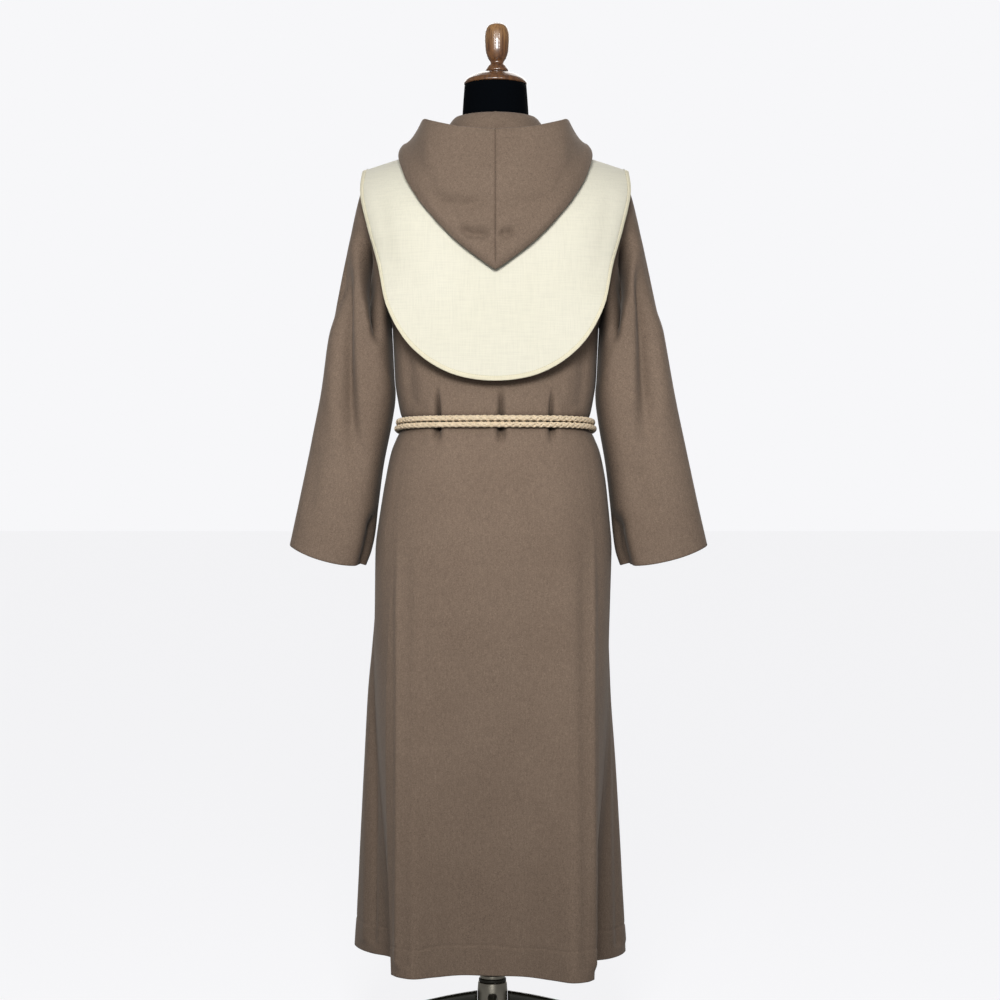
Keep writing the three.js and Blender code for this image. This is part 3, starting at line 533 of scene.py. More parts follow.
def lofted(name: str, rings: Array) -> Piece:
    """A closed skin through rings of points, with a fan at each end.

    Args:
        name: Name of the piece.
        rings: Rings of the same number of points.

    Returns:
        The new object.
    """
    rows, sides = rings.shape[:2]
    quads, _ = grid_quads(rows, sides, True)
    points = np.concatenate([rings.reshape(-1, 3), rings[0].mean(0)[None], rings[-1].mean(0)[None]])
    flip = signed_volume(points, quads) < 0
    faces = (quads[:, ::-1] if flip else quads).tolist()
    low, high = rows * sides, rows * sides + 1
    for j in range(sides):
        after = (j + 1) % sides
        bottom = [low, after, j]
        top = [high, (rows - 1) * sides + j, (rows - 1) * sides + after]
        faces.append(bottom[::-1] if flip else bottom)
        faces.append(top[::-1] if flip else top)
    return mesh_object(name, points, faces)


def path_frames(path: Array) -> tuple[Array, Array, Array]:
    """Directions along, beside and above a line of points, without twist.

    Args:
        path: Points of the line.

    Returns:
        Three arrays of unit vectors, one per point.
    """
    tangents = unit(np.gradient(path, axis=0))
    side = unit(np.cross(tangents[0], np.array([0.0, 0.0, 1.0])) + 1e-6)
    sides = []
    for tangent in tangents:
        side = unit(side - tangent * np.dot(side, tangent))
        sides.append(side)
    beside = np.array(sides)
    return tangents, beside, np.cross(tangents, beside)


def tube(
    path: Array, half_width: float, half_height: float, across: Array, above: Array, sides: int
) -> tuple[Array, Array]:
    """Points and quads of a closed tube with an oval section.

    Args:
        path: Points of its middle line.
        half_width: Half size along across.
        half_height: Half size along above.
        across: One direction of the section at each point.
        above: The other direction.
        sides: Facets round the tube.

    Returns:
        Points, and quads into them; the ends are closed with quads that share a corner.
    """
    turn = np.arange(sides) * 2 * math.pi / sides
    ring = (
        np.cos(turn)[None, :, None] * across[:, None, :] * half_width
        + np.sin(turn)[None, :, None] * above[:, None, :] * half_height
    )
    grid = path[:, None, :] + ring
    quads, _ = grid_quads(len(path), sides, True)
    points = np.concatenate([grid.reshape(-1, 3), path[:1], path[-1:]])
    low, high = len(path) * sides, len(path) * sides + 1
    ends = []
    for j in range(0, sides, 2):
        ends.append([low, (j + 2) % sides, (j + 1) % sides, j])
        base = (len(path) - 1) * sides
        ends.append([high, base + j, base + (j + 1) % sides, base + (j + 2) % sides])
    return points, np.concatenate([quads, np.array(ends)])


# ------------------------------------------------------------------------------ finishes


class Bench:
    """Where one material's nodes are wired together."""

    def __init__(self, name: str) -> None:
        """Starts a material with its shader.

        Args:
            name: Name of the material.
        """
        self.material = bpy.data.materials.new(name)
        self.material.use_nodes = True
        self.nodes = self.material.node_tree.nodes
        self.links = self.material.node_tree.links
        self.shader = self.nodes["Principled BSDF"]

    def set(self, **values: float | tuple) -> None:
        """Sets the shader's own sockets; a name's underscores stand for spaces."""
        for name, value in values.items():
            self.shader.inputs[name.replace("_", " ")].default_value = value

    def node(self, kind: str, inputs: dict | None = None, **settings: object) -> bpy.types.Node:
        """Adds a node.

        Args:
            kind: Blender's name of the node.
            inputs: Values or output sockets for its inputs.
            settings: Properties of the node.

        Returns:
            The new node.
        """
        made = self.nodes.new(kind)
        for name, value in settings.items():
            setattr(made, name, value)
        for name, value in (inputs or {}).items():
            if isinstance(value, Socket):
                self.links.new(value, made.inputs[name])
            else:
                made.inputs[name].default_value = value
        return made

    def noise(self, where: Socket, scale: float, detail: float, roughness: float = 0.5) -> Socket:
        """A cloudy grey pattern of the given number of clouds per metre."""
        made = self.node(
            "ShaderNodeTexNoise",
            {"Vector": where, "Scale": scale, "Detail": detail, "Roughness": roughness},
        )
        return made.outputs["Fac"]

    def ramp(self, grey: Socket, stops: Sequence[tuple[float, Colour]]) -> Socket:
        """Turns a grey pattern into colours.

        Args:
            grey: The pattern.
            stops: Pairs of grey level and colour.

        Returns:
            The coloured pattern.
        """
        made = self.node("ShaderNodeValToRGB", {"Fac": grey})
        elements = made.color_ramp.elements
        while len(elements) < len(stops):
            elements.new(0.5)
        for element, (place, colour) in zip(elements, stops):
            element.position = place
            element.color = (*colour, 1)
        return made.outputs["Color"]

    def blend(self, kind: str, share: float | Socket, a: Socket, b: object) -> Socket:
        """Lays one colour over another.

        Args:
            kind: Way of blending.
            share: How much of the upper colour shows.
            a: Lower colour.
            b: Upper colour.

        Returns:
            The blended colour.
        """
        made = self.node("ShaderNodeMix", data_type="RGBA", blend_type=kind)
        for slot, value in ((0, share), (6, a), (7, b)):
            if isinstance(value, Socket):
                self.links.new(value, made.inputs[slot])
            else:
                made.inputs[slot].default_value = value
        return made.outputs[2]

    def tint(self, colour: Socket, share: float, grey: Socket, *stops: tuple[float, Colour]) -> Socket:
        """Multiplies a colour by a grey pattern turned into tints."""
        return self.blend("MULTIPLY", share, colour, self.ramp(grey, stops))

    def ranged(self, value: Socket, low: float, high: float, start: float = 0.0, end: float = 1.0) -> Socket:
        """Numbers from low to high, moved to the range from start to end."""
        ends = {"From Min": low, "From Max": high, "To Min": start, "To Max": end}
        return self.node("ShaderNodeMapRange", {"Value": value, **ends}).outputs["Result"]

    def sums(self, kind: str, a: object, b: object = 0.5) -> Socket:
        """One arithmetic step on two numbers."""
        return self.node("ShaderNodeMath", {0: a, 1: b}, operation=kind).outputs[0]

    def stretched(self, where: Socket, scale: Triple, turn: float = 0.0) -> Socket:
        """Places scaled along each axis and turned about the third."""
        made = self.node("ShaderNodeMapping", {"Vector": where, "Scale": scale, "Rotation": (0, 0, turn)})
        return made.outputs["Vector"]

    def bump(self, height: Socket, strength: float, distance: float, under: Socket | None = None) -> Socket:
        """Fine relief from a grey pattern.

        Args:
            height: The pattern.
            strength: How strongly it shows, 0 to 1.
            distance: Its height in metres.
            under: Relief that it lies on.

        Returns:
            The relief, for the shader's normal.
        """
        inputs: dict = {"Height": height, "Strength": strength, "Distance": distance}
        if under is not None:
            inputs["Normal"] = under
        return self.node("ShaderNodeBump", inputs).outputs["Normal"]


def linear(red: int, green: int, blue: int) -> Colour:
    """A swatch colour, 0 to 255, as light."""
    parts = [c / 255 for c in (red, green, blue)]
    return tuple(c / 12.92 if c <= 0.04045 else ((c + 0.055) / 1.055) ** 2.4 for c in parts)


def toned(colour: Colour, factor: float) -> Colour:
    """The colour made lighter or darker."""
    return tuple(min(1.0, c * factor) for c in colour)


def mixed(a: Colour, b: Colour, t: float) -> Colour:
    """A colour between two colours."""
    return tuple(float(mix(p, q, t)) for p, q in zip(a, b))


@dataclass(frozen=True)
class HeatheredWool:
    """Soft napped wool of mixed light and dark fibres in a fine twill."""

    name: str = "heathered_wool"
    colour: Colour = linear(126, 108, 93)
    fleck: float = 0.16
    twill_scale: float = 98.726
    fold_reach: float = 0.07
    fold_shade: float = 0.16
    fold_samples: int = 8
    hem_to_hood: tuple[float, float] = (0.15, 1.45)
    # Brightness by height from hem to hood: painted shade where less light falls, darker at the hem and
    # towards the hood
    painted_height_shade: Keys = ((0.0, 0.79), (0.62, 0.99), (0.72, 1.0), (0.86, 0.9), (1.0, 0.85))

    def build(self) -> bpy.types.Material:
        """Wires the material.

        Returns:
            The material.
        """
        bench = Bench(self.name)
        where = bench.node("ShaderNodeTexCoord")
        solid, cloth = where.outputs["Object"], where.outputs["UV"]
        fine = bench.noise(solid, 760, 3, 0.7)
        coarse = bench.noise(solid, 330, 2)
        broad = bench.noise(solid, 9, 3)
        slub = bench.noise(bench.stretched(cloth, (420, 60, 1)), 1, 2)
        dark, light = toned(self.colour, 1 - 1.6 * self.fleck), toned(self.colour, 1 + 1.6 * self.fleck)
        colour = bench.ramp(fine, ((0.34, dark), (0.5, self.colour), (0.66, light)))
        colour = bench.tint(colour, 0.8, coarse, (0.36, (0.91,) * 3), (0.64, (1.08,) * 3))
        colour = bench.tint(colour, 0.55, slub, (0.35, (0.9,) * 3), (0.65, (1.08,) * 3))
        colour = bench.tint(colour, 1.0, broad, (0.3, (0.955, 0.95, 0.945)), (0.7, (1.035, 1.04, 1.04)))
        # painted shade: the colour darkens towards the hem and again towards the hood, standing in for the
        # light falling off there
        height = bench.node("ShaderNodeSeparateXYZ", {"Vector": solid}).outputs["Z"]
        rise = bench.ranged(height, *self.hem_to_hood)
        colour = bench.tint(colour, 1.0, rise, *((place, (level,) * 3) for place, level in self.painted_height_shade))
        # painted shade: the colour darkens in folds, recesses and gaps between parts, by how closed in each
        # point is
        openness = bench.node(
            "ShaderNodeAmbientOcclusion", {"Distance": self.fold_reach}, samples=self.fold_samples
        ).outputs["AO"]
        shades = (0.12, (self.fold_shade,) * 3), (0.5, (0.64, 0.63, 0.62)), (0.88, (1.0, 1.0, 1.0))
        colour = bench.tint(colour, 1.0, openness, *shades)
        bench.links.new(colour, bench.shader.inputs["Base Color"])
        twill = bench.node(
            "ShaderNodeTexWave",
            {
                "Vector": bench.stretched(cloth, (1, 1, 1), math.radians(38)),
                "Scale": self.twill_scale,
                "Distortion": 1.2,
                "Detail": 1.0,
            },
            wave_type="BANDS",
        ).outputs["Fac"]
        relief = bench.bump(twill, 0.5, 0.00005)
        relief = bench.bump(fine, 0.6, 0.00012, relief)
        bench.links.new(relief, bench.shader.inputs["Normal"])
        bench.set(
            Roughness=0.92,
            Sheen_Weight=0.14,
            Sheen_Roughness=0.5,
            Sheen_Tint=(0.82, 0.74, 0.66, 1),
            Specular_IOR_Level=0.15,
        )
        return bench.material


@dataclass(frozen=True)
class CreamCloth:
    """Smooth firm cloth in a plain weave."""

    name: str = "cream_cloth"
    colour: Colour = linear(222, 218, 200)
    band: float = 0.0068
    band_tint: Colour = (1.0, 0.965, 0.87)
    stitch: float = 0.0034

    def build(self) -> bpy.types.Material:
        """Wires the material.

        Returns:
            The material.
        """
        bench = Bench(self.name)
        where = bench.node("ShaderNodeTexCoord")
        solid, cloth = where.outputs["Object"], where.outputs["UV"]
        warp = bench.noise(bench.stretched(solid, (560, 560, 30)), 1, 2)
        weft = bench.noise(bench.stretched(solid, (30, 30, 560)), 1, 2)
        broad = bench.noise(solid, 7, 2)
        yarns = bench.sums("ADD", bench.sums("MULTIPLY", warp, 0.5), bench.sums("MULTIPLY", weft, 0.5))
        colour = bench.ramp(
            yarns, ((0.38, toned(self.colour, 0.955)), (0.5, self.colour), (0.62, toned(self.colour, 1.03)))
        )
        colour = bench.tint(colour, 1.0, broad, (0.3, (0.985, 0.985, 0.975)), (0.7, (1.01, 1.01, 1.015)))
        place = bench.node("ShaderNodeSeparateXYZ", {"Vector": cloth})
        from_edge, around = place.outputs["Y"], place.outputs["X"]
        band = bench.ranged(from_edge, self.band - 0.0008, self.band + 0.0008, 1.0, 0.0)
        colour = bench.blend("MULTIPLY", band, colour, (*self.band_tint, 1))
        off_line = bench.sums("ABSOLUTE", bench.sums("SUBTRACT", from_edge, self.band))
        on_line = bench.sums("LESS_THAN", off_line, 0.0005)
        in_stitch = bench.sums(
            "LESS_THAN", bench.sums("FRACT", bench.sums("DIVIDE", around, self.stitch)), 0.7
        )
        stitch = bench.sums("MULTIPLY", on_line, in_stitch)
        colour = bench.blend("MULTIPLY", stitch, colour, (0.82, 0.79, 0.72, 1))
        bench.links.new(colour, bench.shader.inputs["Base Color"])
        relief = bench.bump(yarns, 0.5, 0.00008)
        bench.links.new(relief, bench.shader.inputs["Normal"])
        bench.set(Roughness=0.8, Sheen_Weight=0.15, Sheen_Roughness=0.5, Specular_IOR_Level=0.2)
        return bench.material


@dataclass(frozen=True)
class CottonRope:
    """Pale braided cotton with fibre and patches of mixed tone."""

    name: str = "cotton_rope"
    colour: Colour = linear(226, 206, 176)

    def build(self) -> bpy.types.Material:
        """Wires the material.

        Returns:
            The material.
        """
        bench = Bench(self.name)
        where = bench.node("ShaderNodeTexCoord").outputs["Object"]
        fibre = bench.noise(where, 1400, 2, 0.6)
        patch = bench.noise(where, 120, 2)
        colour = bench.ramp(
            fibre, ((0.3, toned(self.colour, 0.84)), (0.5, self.colour), (0.7, toned(self.colour, 1.1)))
        )
        colour = bench.tint(colour, 0.8, patch, (0.35, (0.9, 0.88, 0.84)), (0.65, (1.05, 1.05, 1.05)))
        bench.links.new(colour, bench.shader.inputs["Base Color"])
        bench.links.new(bench.bump(fibre, 0.5, 0.0001), bench.shader.inputs["Normal"])
        bench.set(Roughness=0.75, Sheen_Weight=0.1, Specular_IOR_Level=0.25)
        return bench.material


@dataclass(frozen=True)
class StretchCover:
    """Tight black jersey over the padded form."""

    name: str = "black_jersey"
    colour: Colour = linear(2, 4, 7)

    def build(self) -> bpy.types.Material:
        """Wires the material.

        Returns:
            The material.
        """
        bench = Bench(self.name)
        where = bench.node("ShaderNodeTexCoord").outputs["Object"]
        rib = bench.noise(bench.stretched(where, (900, 900, 90)), 1, 2)
        fine = bench.noise(where, 700, 2)
        colour = bench.ramp(fine, ((0.35, toned(self.colour, 0.75)), (0.65, toned(self.colour, 1.35))))
        bench.links.new(colour, bench.shader.inputs["Base Color"])
        bench.links.new(bench.bump(rib, 0.5, 0.00006), bench.shader.inputs["Normal"])
        bench.set(Roughness=0.95, Specular_IOR_Level=0.04)
        return bench.material


@dataclass(frozen=True)
class TurnedWood:
    """Varnished turned hardwood, darker and redder towards its foot."""

    name: str = "turned_wood"
    light: Colour = linear(158, 118, 72)
    dark: Colour = linear(104, 70, 40)
    foot_z: float = 1.628
    head_z: float = 1.672

    def build(self) -> bpy.types.Material:
        """Wires the material.

        Returns:
            The material.
        """
        bench = Bench(self.name)
        where = bench.node("ShaderNodeTexCoord").outputs["Object"]
        grain = bench.noise(bench.stretched(where, (260, 260, 18)), 1, 5, 0.6)
        rings = bench.noise(bench.stretched(where, (70, 70, 9)), 1, 2)
        colour = bench.ramp(
            grain, ((0.36, self.dark), (0.5, mixed(self.dark, self.light, 0.6)), (0.66, self.light))
        )
        colour = bench.tint(colour, 0.6, rings, (0.35, (0.8, 0.74, 0.68)), (0.65, (1.1, 1.1, 1.1)))
        height = bench.node("ShaderNodeSeparateXYZ", {"Vector": where}).outputs["Z"]
        rise = bench.ranged(height, self.foot_z, self.head_z)
        stain = (0.0, (0.5, 0.4, 0.34)), (0.5, (0.62, 0.52, 0.44)), (1.0, (1.0, 1.0, 1.0))
        colour = bench.tint(colour, 1.0, rise, *stain)
        bench.links.new(colour, bench.shader.inputs["Base Color"])
        bench.links.new(bench.bump(grain, 0.08, 0.0003), bench.shader.inputs["Normal"])
        bench.set(Roughness=0.42, Coat_Weight=0.7, Coat_Roughness=0.12, Specular_IOR_Level=0.5)
        return bench.material


@dataclass(frozen=True)
class BrushedSteel:
    """Dull nickelled steel with fine lines round it."""

    name: str = "brushed_steel"
    colour: Colour = linear(176, 170, 154)

    def build(self) -> bpy.types.Material:
        """Wires the material.

        Returns:
            The material.
        """
        bench = Bench(self.name)
        where = bench.node("ShaderNodeTexCoord").outputs["Object"]
        lines = bench.noise(bench.stretched(where, (30, 30, 2600)), 1, 2)
        smear = bench.noise(where, 60, 2)
        colour = bench.ramp(smear, ((0.3, toned(self.colour, 0.86)), (0.7, toned(self.colour, 1.06))))
        bench.links.new(colour, bench.shader.inputs["Base Color"])
        bench.links.new(bench.ranged(lines, 0.0, 1.0, 0.3, 0.46), bench.shader.inputs["Roughness"])
        bench.links.new(bench.bump(lines, 0.06, 0.0002), bench.shader.inputs["Normal"])
        bench.set(Metallic=0.85)
        return bench.material


@dataclass(frozen=True)
class SatinPaint:
    """Dark olive powder coat with a slight orange peel."""

    name: str = "olive_paint"
    colour: Colour = linear(48, 46, 34)

    def build(self) -> bpy.types.Material:
        """Wires the material.

        Returns:
            The material.
        """
        bench = Bench(self.name)
        where = bench.node("ShaderNodeTexCoord").outputs["Object"]
        peel = bench.noise(where, 420, 2)
        dust = bench.noise(where, 28, 3)
        colour = bench.ramp(dust, ((0.35, toned(self.colour, 0.9)), (0.7, toned(self.colour, 1.2))))
        bench.links.new(colour, bench.shader.inputs["Base Color"])
        bench.links.new(bench.bump(peel, 0.1, 0.0003), bench.shader.inputs["Normal"])
        bench.set(Roughness=0.42, Metallic=0.2)
        return bench.material


class Slot(Enum):
    """Material slots of the record, each with the finish that it takes."""

    WOOL = "wool"
    CREAM = "cream_cloth"
    ROPE = "rope"
    COVER = "black_cloth"
    WOOD = "wood"
    STEEL = "steel"
    PAINT = "dark_paint"


FINISHES = {
    Slot.WOOL: HeatheredWool(),
    Slot.CREAM: CreamCloth(),
    Slot.ROPE: CottonRope(),
    Slot.COVER: StretchCover(),
    Slot.WOOD: TurnedWood(),
    Slot.STEEL: BrushedSteel(),
    Slot.PAINT: SatinPaint(),
}


class Dresser:
    """Gives a piece its finish and its place in the frame."""

    def __init__(self) -> None:
        """Makes every finish once."""
        self.materials = {slot: finish.build() for slot, finish in FINISHES.items()}

    def dress(self, piece: Piece, slot: Slot, *nodes: str) -> Piece:
        """Finishes a piece, lets it ride on the object and stand for CAD nodes.

        Args:
            piece: The new piece.
            slot: Its material slot.
            nodes: The CAD nodes that it replaces.

        Returns:
            The piece.
        """
        piece.data.materials.clear()
        piece.data.materials.append(self.materials[slot])
        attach(piece, "root")
        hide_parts(*nodes)
        LOG.info("%s: %d faces", piece.name, len(piece.data.polygons))
        return piece


# ------------------------------------------------------------------------------ the garment's form


@dataclass(frozen=True)
class BodyForm:
    """Sizes of the worn tunic and the rounded shoulders that every piece follows."""

    hem_z: float = 150
    pleat_top_z: float = 835
    belt_z: float = 1032
    underarm_z: float = 1190
    underarm_x: float = 170
    tip_x: float = 218
    tip_z: float = 1439
    slope: float = 0.32
    fall: float = 130
    ridge_rounding: float = 30
    tunic_lift: float = 4.5
    armhole_top_x: float = 205
    armhole_reach: float = 58
    underarm_rounding: float = 0.45
    power: float = 2.4
    neckline_x: float = 72
    neckline_back_y: float = 62
    neckline_front_y: float = 66
    half_width: Keys = (
        (150, 230), (250, 228), (330, 227), (418, 225), (500, 222), (580, 217), (660, 210), (738, 203),
        (832, 195), (900, 187),
        (942, 181), (985, 172), (1008, 163), (1032, 152), (1050, 157), (1070, 161), (1100, 165.5),
        (1140, 167.5), (1190, 170),
    )
    back_depth: Keys = (
        (150, 150), (500, 140), (830, 128), (940, 119), (1032, 108), (1090, 112), (1190, 121), (1300, 130),
        (1400, 128), (1520, 124),
    )
    front_depth: Keys = (
        (150, 170), (500, 158), (830, 140), (940, 127), (1032, 110), (1090, 112), (1190, 117), (1290, 122),
        (1400, 110), (1520, 102),
    )

    def ridge_z(self, x: Array | float, lift: float) -> Array:
        """Height of the shoulder ridge, lifted for the layer."""
        return self.tip_z + lift + self.slope * (self.tip_x - np.hypot(x, self.ridge_rounding))

    def rounded_over(self, x: Array, z: Array, lift: float) -> Array:
        """How far the shoulder has rounded over, 0 on the ridge and 1 below the rounding."""
        q = np.clip((self.ridge_z(x, lift) - z) / (self.fall + lift), 0, 1)
        return np.sqrt(q * (2 - q))

    def full_depth(self, z: Array | float, face: Face) -> Array:
        """Depth of the body from its middle to a face."""
        return along(self.back_depth if face is Face.BACK else self.front_depth, z)

    @staticmethod
    def super_oval(share: Array, power: float) -> Array:
        """Depth of a rounded rectangle at a share of its half width."""
        return (1 - np.clip(share, 0, 1) ** power) ** (1 / power)

    @property
    def armhole_top_z(self) -> float:
        """Height of the top of the armhole."""
        return float(self.ridge_z(self.armhole_top_x, self.tunic_lift))

    def armhole_rise(self, z: Array) -> Array:
        """Share of the way up the armhole."""
        return np.clip((z - self.underarm_z) / (self.armhole_top_z - self.underarm_z), 0, 1)

    def armhole_x(self, z: Array) -> Array:
        """Distance of the armhole seam from the middle."""
        return mix(self.underarm_x, self.armhole_top_x, self.armhole_rise(z))

    def armhole_depth(self, z: Array) -> Array:
        """Half depth of the armhole before the shoulder rounds it off."""
        rise = np.clip(self.armhole_rise(z) / self.underarm_rounding, 0, 1)
        return self.armhole_reach * np.sqrt(rise * (2 - rise))

    def tunic_depth(self, x: Array, z: Array, face: Face) -> Array:
        """Depth of the tunic's outer face above the underarm.

        Args:
            x: Places across.
            z: Heights.
            face: Back or front.

        Returns:
            Distances from the middle plane.
        """
        edge = self.armhole_depth(z)
        oval = self.super_oval(np.abs(x) / self.armhole_x(z), self.power)
        return (edge + (self.full_depth(z, face) - edge) * oval) * self.rounded_over(x, z, self.tunic_lift)

    def shoulder_z(self, x: Array, y: Array, depth: Array, lift: float) -> Array:
        """Height on the rounded shoulder at a depth."""
        share = np.clip(np.abs(y) / depth, 0, 1)
        return self.ridge_z(x, lift) - (self.fall + lift) * (1 - np.sqrt(1 - share * share))

    def oval(self, z: Array, degrees: Array) -> tuple[Array, Array]:
        """The plain oval section of the body.

        Args:
            z: Heights.
            degrees: Angles from +X towards +Y.

        Returns:
            The x and the y of each point.
        """
        turn = np.radians(degrees)
        c, s = np.cos(turn), np.sin(turn)
        depth = np.where(s >= 0, self.full_depth(z, Face.BACK), self.full_depth(z, Face.FRONT))
        power = 2 / self.power
        x = along(self.half_width, z) * np.sign(c) * np.abs(c) ** power
        return x, depth * np.sign(s) * np.abs(s) ** power


FORM = BodyForm()


# ------------------------------------------------------------------------------ tunic


@dataclass(frozen=True)
class HemPoint:
    """A thread at the hem: its angle on the plain oval, and its place there."""

    angle: float
    x: float
    y: float


@dataclass(frozen=True)
class Tunic:
    """Back and front panels of the long tunic, pleated at the sides of the skirt."""

    dresser: Dresser
    cloth: float = 2.4
    seam_gap: float = 0.4
    skirt_turn: float = -0.11
    skirt_shift: Keys = ((150, 8.6), (330, 8.3), (500, 7.3), (660, 6.9), (738, 5.2), (835, 3), (942, 0))
    skirt_skew: float = 0.026
    neck_share: float = 0.42
    hem_depth: float = 46
    seam_columns: int = 10
    back_flat: tuple[float, float] = (0.66, 1.37)
    back_area: float = 0.68
    front_flat: tuple[float, float] = (0.86, 1.36)
    front_area: float = 0.76
    back_hem: tuple[HemPoint, ...] = (
        HemPoint(90, 0, 131), HemPoint(76, 50, 131), HemPoint(64, 92, 152), HemPoint(53, 126, 170),
        HemPoint(44, 150, 158),
        HemPoint(37, 161, 141),
    )
    pleat_hem: tuple[HemPoint, ...] = (
        HemPoint(37, 161, 141), HemPoint(25, 157, 96), HemPoint(12, 154, 56), HemPoint(0, 158, 20)
    )
    front_hem: tuple[HemPoint, ...] = (
        HemPoint(0, 158, 20), HemPoint(-6, 172, -2), HemPoint(-13, 196, -20), HemPoint(-21, 218, -52),
        HemPoint(-30, 229, -92),
        HemPoint(-39, 221, -136), HemPoint(-48, 194, -172), HemPoint(-57, 156, -186),
        HemPoint(-66, 114, -176),
        HemPoint(-75, 72, -160), HemPoint(-83, 34, -154), HemPoint(-90, 0, -154),
    )

    def skirt_stations(self, hem: Sequence[HemPoint], mirror: int, z: Array) -> Array:
        """Places of the named threads at each height.

        Args:
            hem: The threads.
            mirror: 1 for the left half, -1 for the right half.
            z: Heights.

        Returns:
            Heights x threads x 3 points.
        """
        opening = np.clip((FORM.pleat_top_z - z) / (FORM.pleat_top_z - FORM.hem_z), 0, 1)
        lines = []
        for thread in hem:
            oval_x, oval_y = FORM.oval(z, np.full_like(z, thread.angle))
            face = Face.BACK if thread.y >= 0 else Face.FRONT
            fold_x = thread.x * along(FORM.half_width, z) / along(FORM.half_width, FORM.hem_z)
            fold_y = thread.y * FORM.full_depth(z, face) / FORM.full_depth(FORM.hem_z, face)
            x = mirror * mix(oval_x, fold_x, opening)
            y = mix(oval_y, fold_y, opening)
            shifted = x + along(self.skirt_shift, z) - self.skirt_skew * opening * y
            lines.append(np.stack([shifted, y + self.skirt_turn * opening * x, z], axis=-1))
        return np.stack(lines, axis=1)

    def skirt_rows(self, face: Face, z: Array) -> Array:
        """Rows of the panel from the hem to the underarm.

        Args:
            face: Which panel.
            z: Heights of the rows.

        Returns:
            Rows x columns x 3 points, from the left side seam on the back panel, from the right on the front.
        """
        halves = {}
        for mirror in (1, -1):
            if face is Face.BACK:
                back = curve(self.skirt_stations(self.back_hem, mirror, z), np.linspace(0, 1, 70))
                pleat = curve(self.skirt_stations(self.pleat_hem, mirror, z), np.linspace(0, 1, 27))
                halves[mirror] = np.concatenate([back, pleat[:, 1:]], axis=1)[:, ::-1]
            else:
                halves[mirror] = curve(self.skirt_stations(self.front_hem, mirror, z), np.linspace(0, 1, 102))
        if face is Face.BACK:
            return np.concatenate([halves[1], halves[-1][:, ::-1][:, 1:]], axis=1)
        return np.concatenate([halves[-1], halves[1][:, ::-1][:, 1:]], axis=1)

    def top_edge(self, share: Array, face: Face) -> tuple[Array, Array]:
        """Shoulder seams and neckline of a panel.

        Args:
            share: Shares across the panel, -1 to 1.
            face: Which panel.

        Returns:
            The x and the z of each point.
        """
        across, sign = np.abs(share), np.sign(share)
        seam_x = mix(FORM.neckline_x, FORM.armhole_top_x, (across - self.neck_share) / (1 - self.neck_share))
        turn = np.clip(across / self.neck_share, 0, 1) * math.pi / 2
        neck_x = FORM.neckline_x * np.sin(turn)
        neck_y = (FORM.neckline_back_y if face is Face.BACK else FORM.neckline_front_y) * np.cos(turn)
        level = FORM.ridge_z(0, FORM.tunic_lift) - neck_y / 4
        neck_z = FORM.shoulder_z(neck_x, neck_y, FORM.full_depth(level, face), FORM.tunic_lift)
        on_seam = across >= self.neck_share
        x = np.where(on_seam, seam_x, neck_x)
        return sign * x, np.where(on_seam, FORM.ridge_z(seam_x, FORM.tunic_lift), neck_z)

    def panel(self, face: Face) -> Array:
        """Outer points of a whole panel.

        Args:
            face: Which panel.

        Returns:
            Rows x columns x 3 points from the hem to the shoulder.
        """
        band = np.linspace(FORM.hem_z, FORM.hem_z + 60, 34)
        skirt = np.linspace(FORM.hem_z + 60, 930, 50)[1:]
        waist = np.linspace(930, 1110, 54)[1:]
        chest = np.linspace(1110, FORM.underarm_z, 14)[1:]
        rows = self.skirt_rows(face, np.concatenate([band, skirt, waist, chest]))
        base = rows[-1]
        share = np.clip(base[:, 0] / FORM.underarm_x, -1, 1)
        top_x, top_z = self.top_edge(share, face)
        climb = (1 - (1 - np.linspace(0, 1, 46)[1:]) ** 1.7)[:, None]
        x = mix(base[None, :, 0], top_x[None], climb)
        z = mix(FORM.underarm_z, top_z[None], climb)
        upper = np.stack([x, face.value * FORM.tunic_depth(x, z, face), z], axis=-1)
        return np.concatenate([rows, upper])

    def creases(self, face: Face) -> list[Crease]:
        """Darts that the belt draws in, and the long soft folds of the skirt.

        Args:
            face: Which panel.

        Returns:
            The creases of the panel.
        """
        if face is Face.BACK:
            darts = ((92, 1.0), (-9, 1.15), (-90, 0.8))
            folds = [
                Crease(((141, 1165), (139, 1100), (133, 1046)), 3.2, 9),
                Crease(((-143, 1165), (-141, 1100), (-134, 1046)), 3.0, 9),
                Crease(((118, 1120), (114, 1050)), -1.6, 9),
                Crease(((-118, 1120), (-112, 1050)), -1.4, 9),
                Crease(((60, 1015), (84, 820), (92, 560)), -2.2, 24, widens=1.6),
                Crease(((-50, 1015), (-62, 760), (-60, 420)), 2.0, 20, widens=1.7),
                Crease(((20, 1010), (16, 780), (30, 480)), 1.8, 20, widens=1.8),
                Crease(((-98, 1010), (-118, 780), (-122, 520)), -2.0, 20, widens=1.5),
                Crease(((-30, 800), (-66, 690), (-96, 610)), 1.6, 13),
                Crease(((96, 700), (40, 620), (0, 560)), 1.1, 16),
                Crease(((50, 420), (0, 330), (-70, 280)), 1.4, 22),
            ]
            folds += [
                Crease(((s * 158, 900), (s * 156, 600), (s * 156, 160)), -4.0, 5, fade_out=0.02)
                for s in (1, -1)
            ]
            folds += [
                Crease(((s * 142, 900), (s * 140, 600), (s * 142, 160)), 2.0, 8, fade_out=0.02)
                for s in (1, -1)
            ]
        else:
            darts = ((96, 0.8), (38, 0.9), (-40, 0.9), (-98, 0.8))
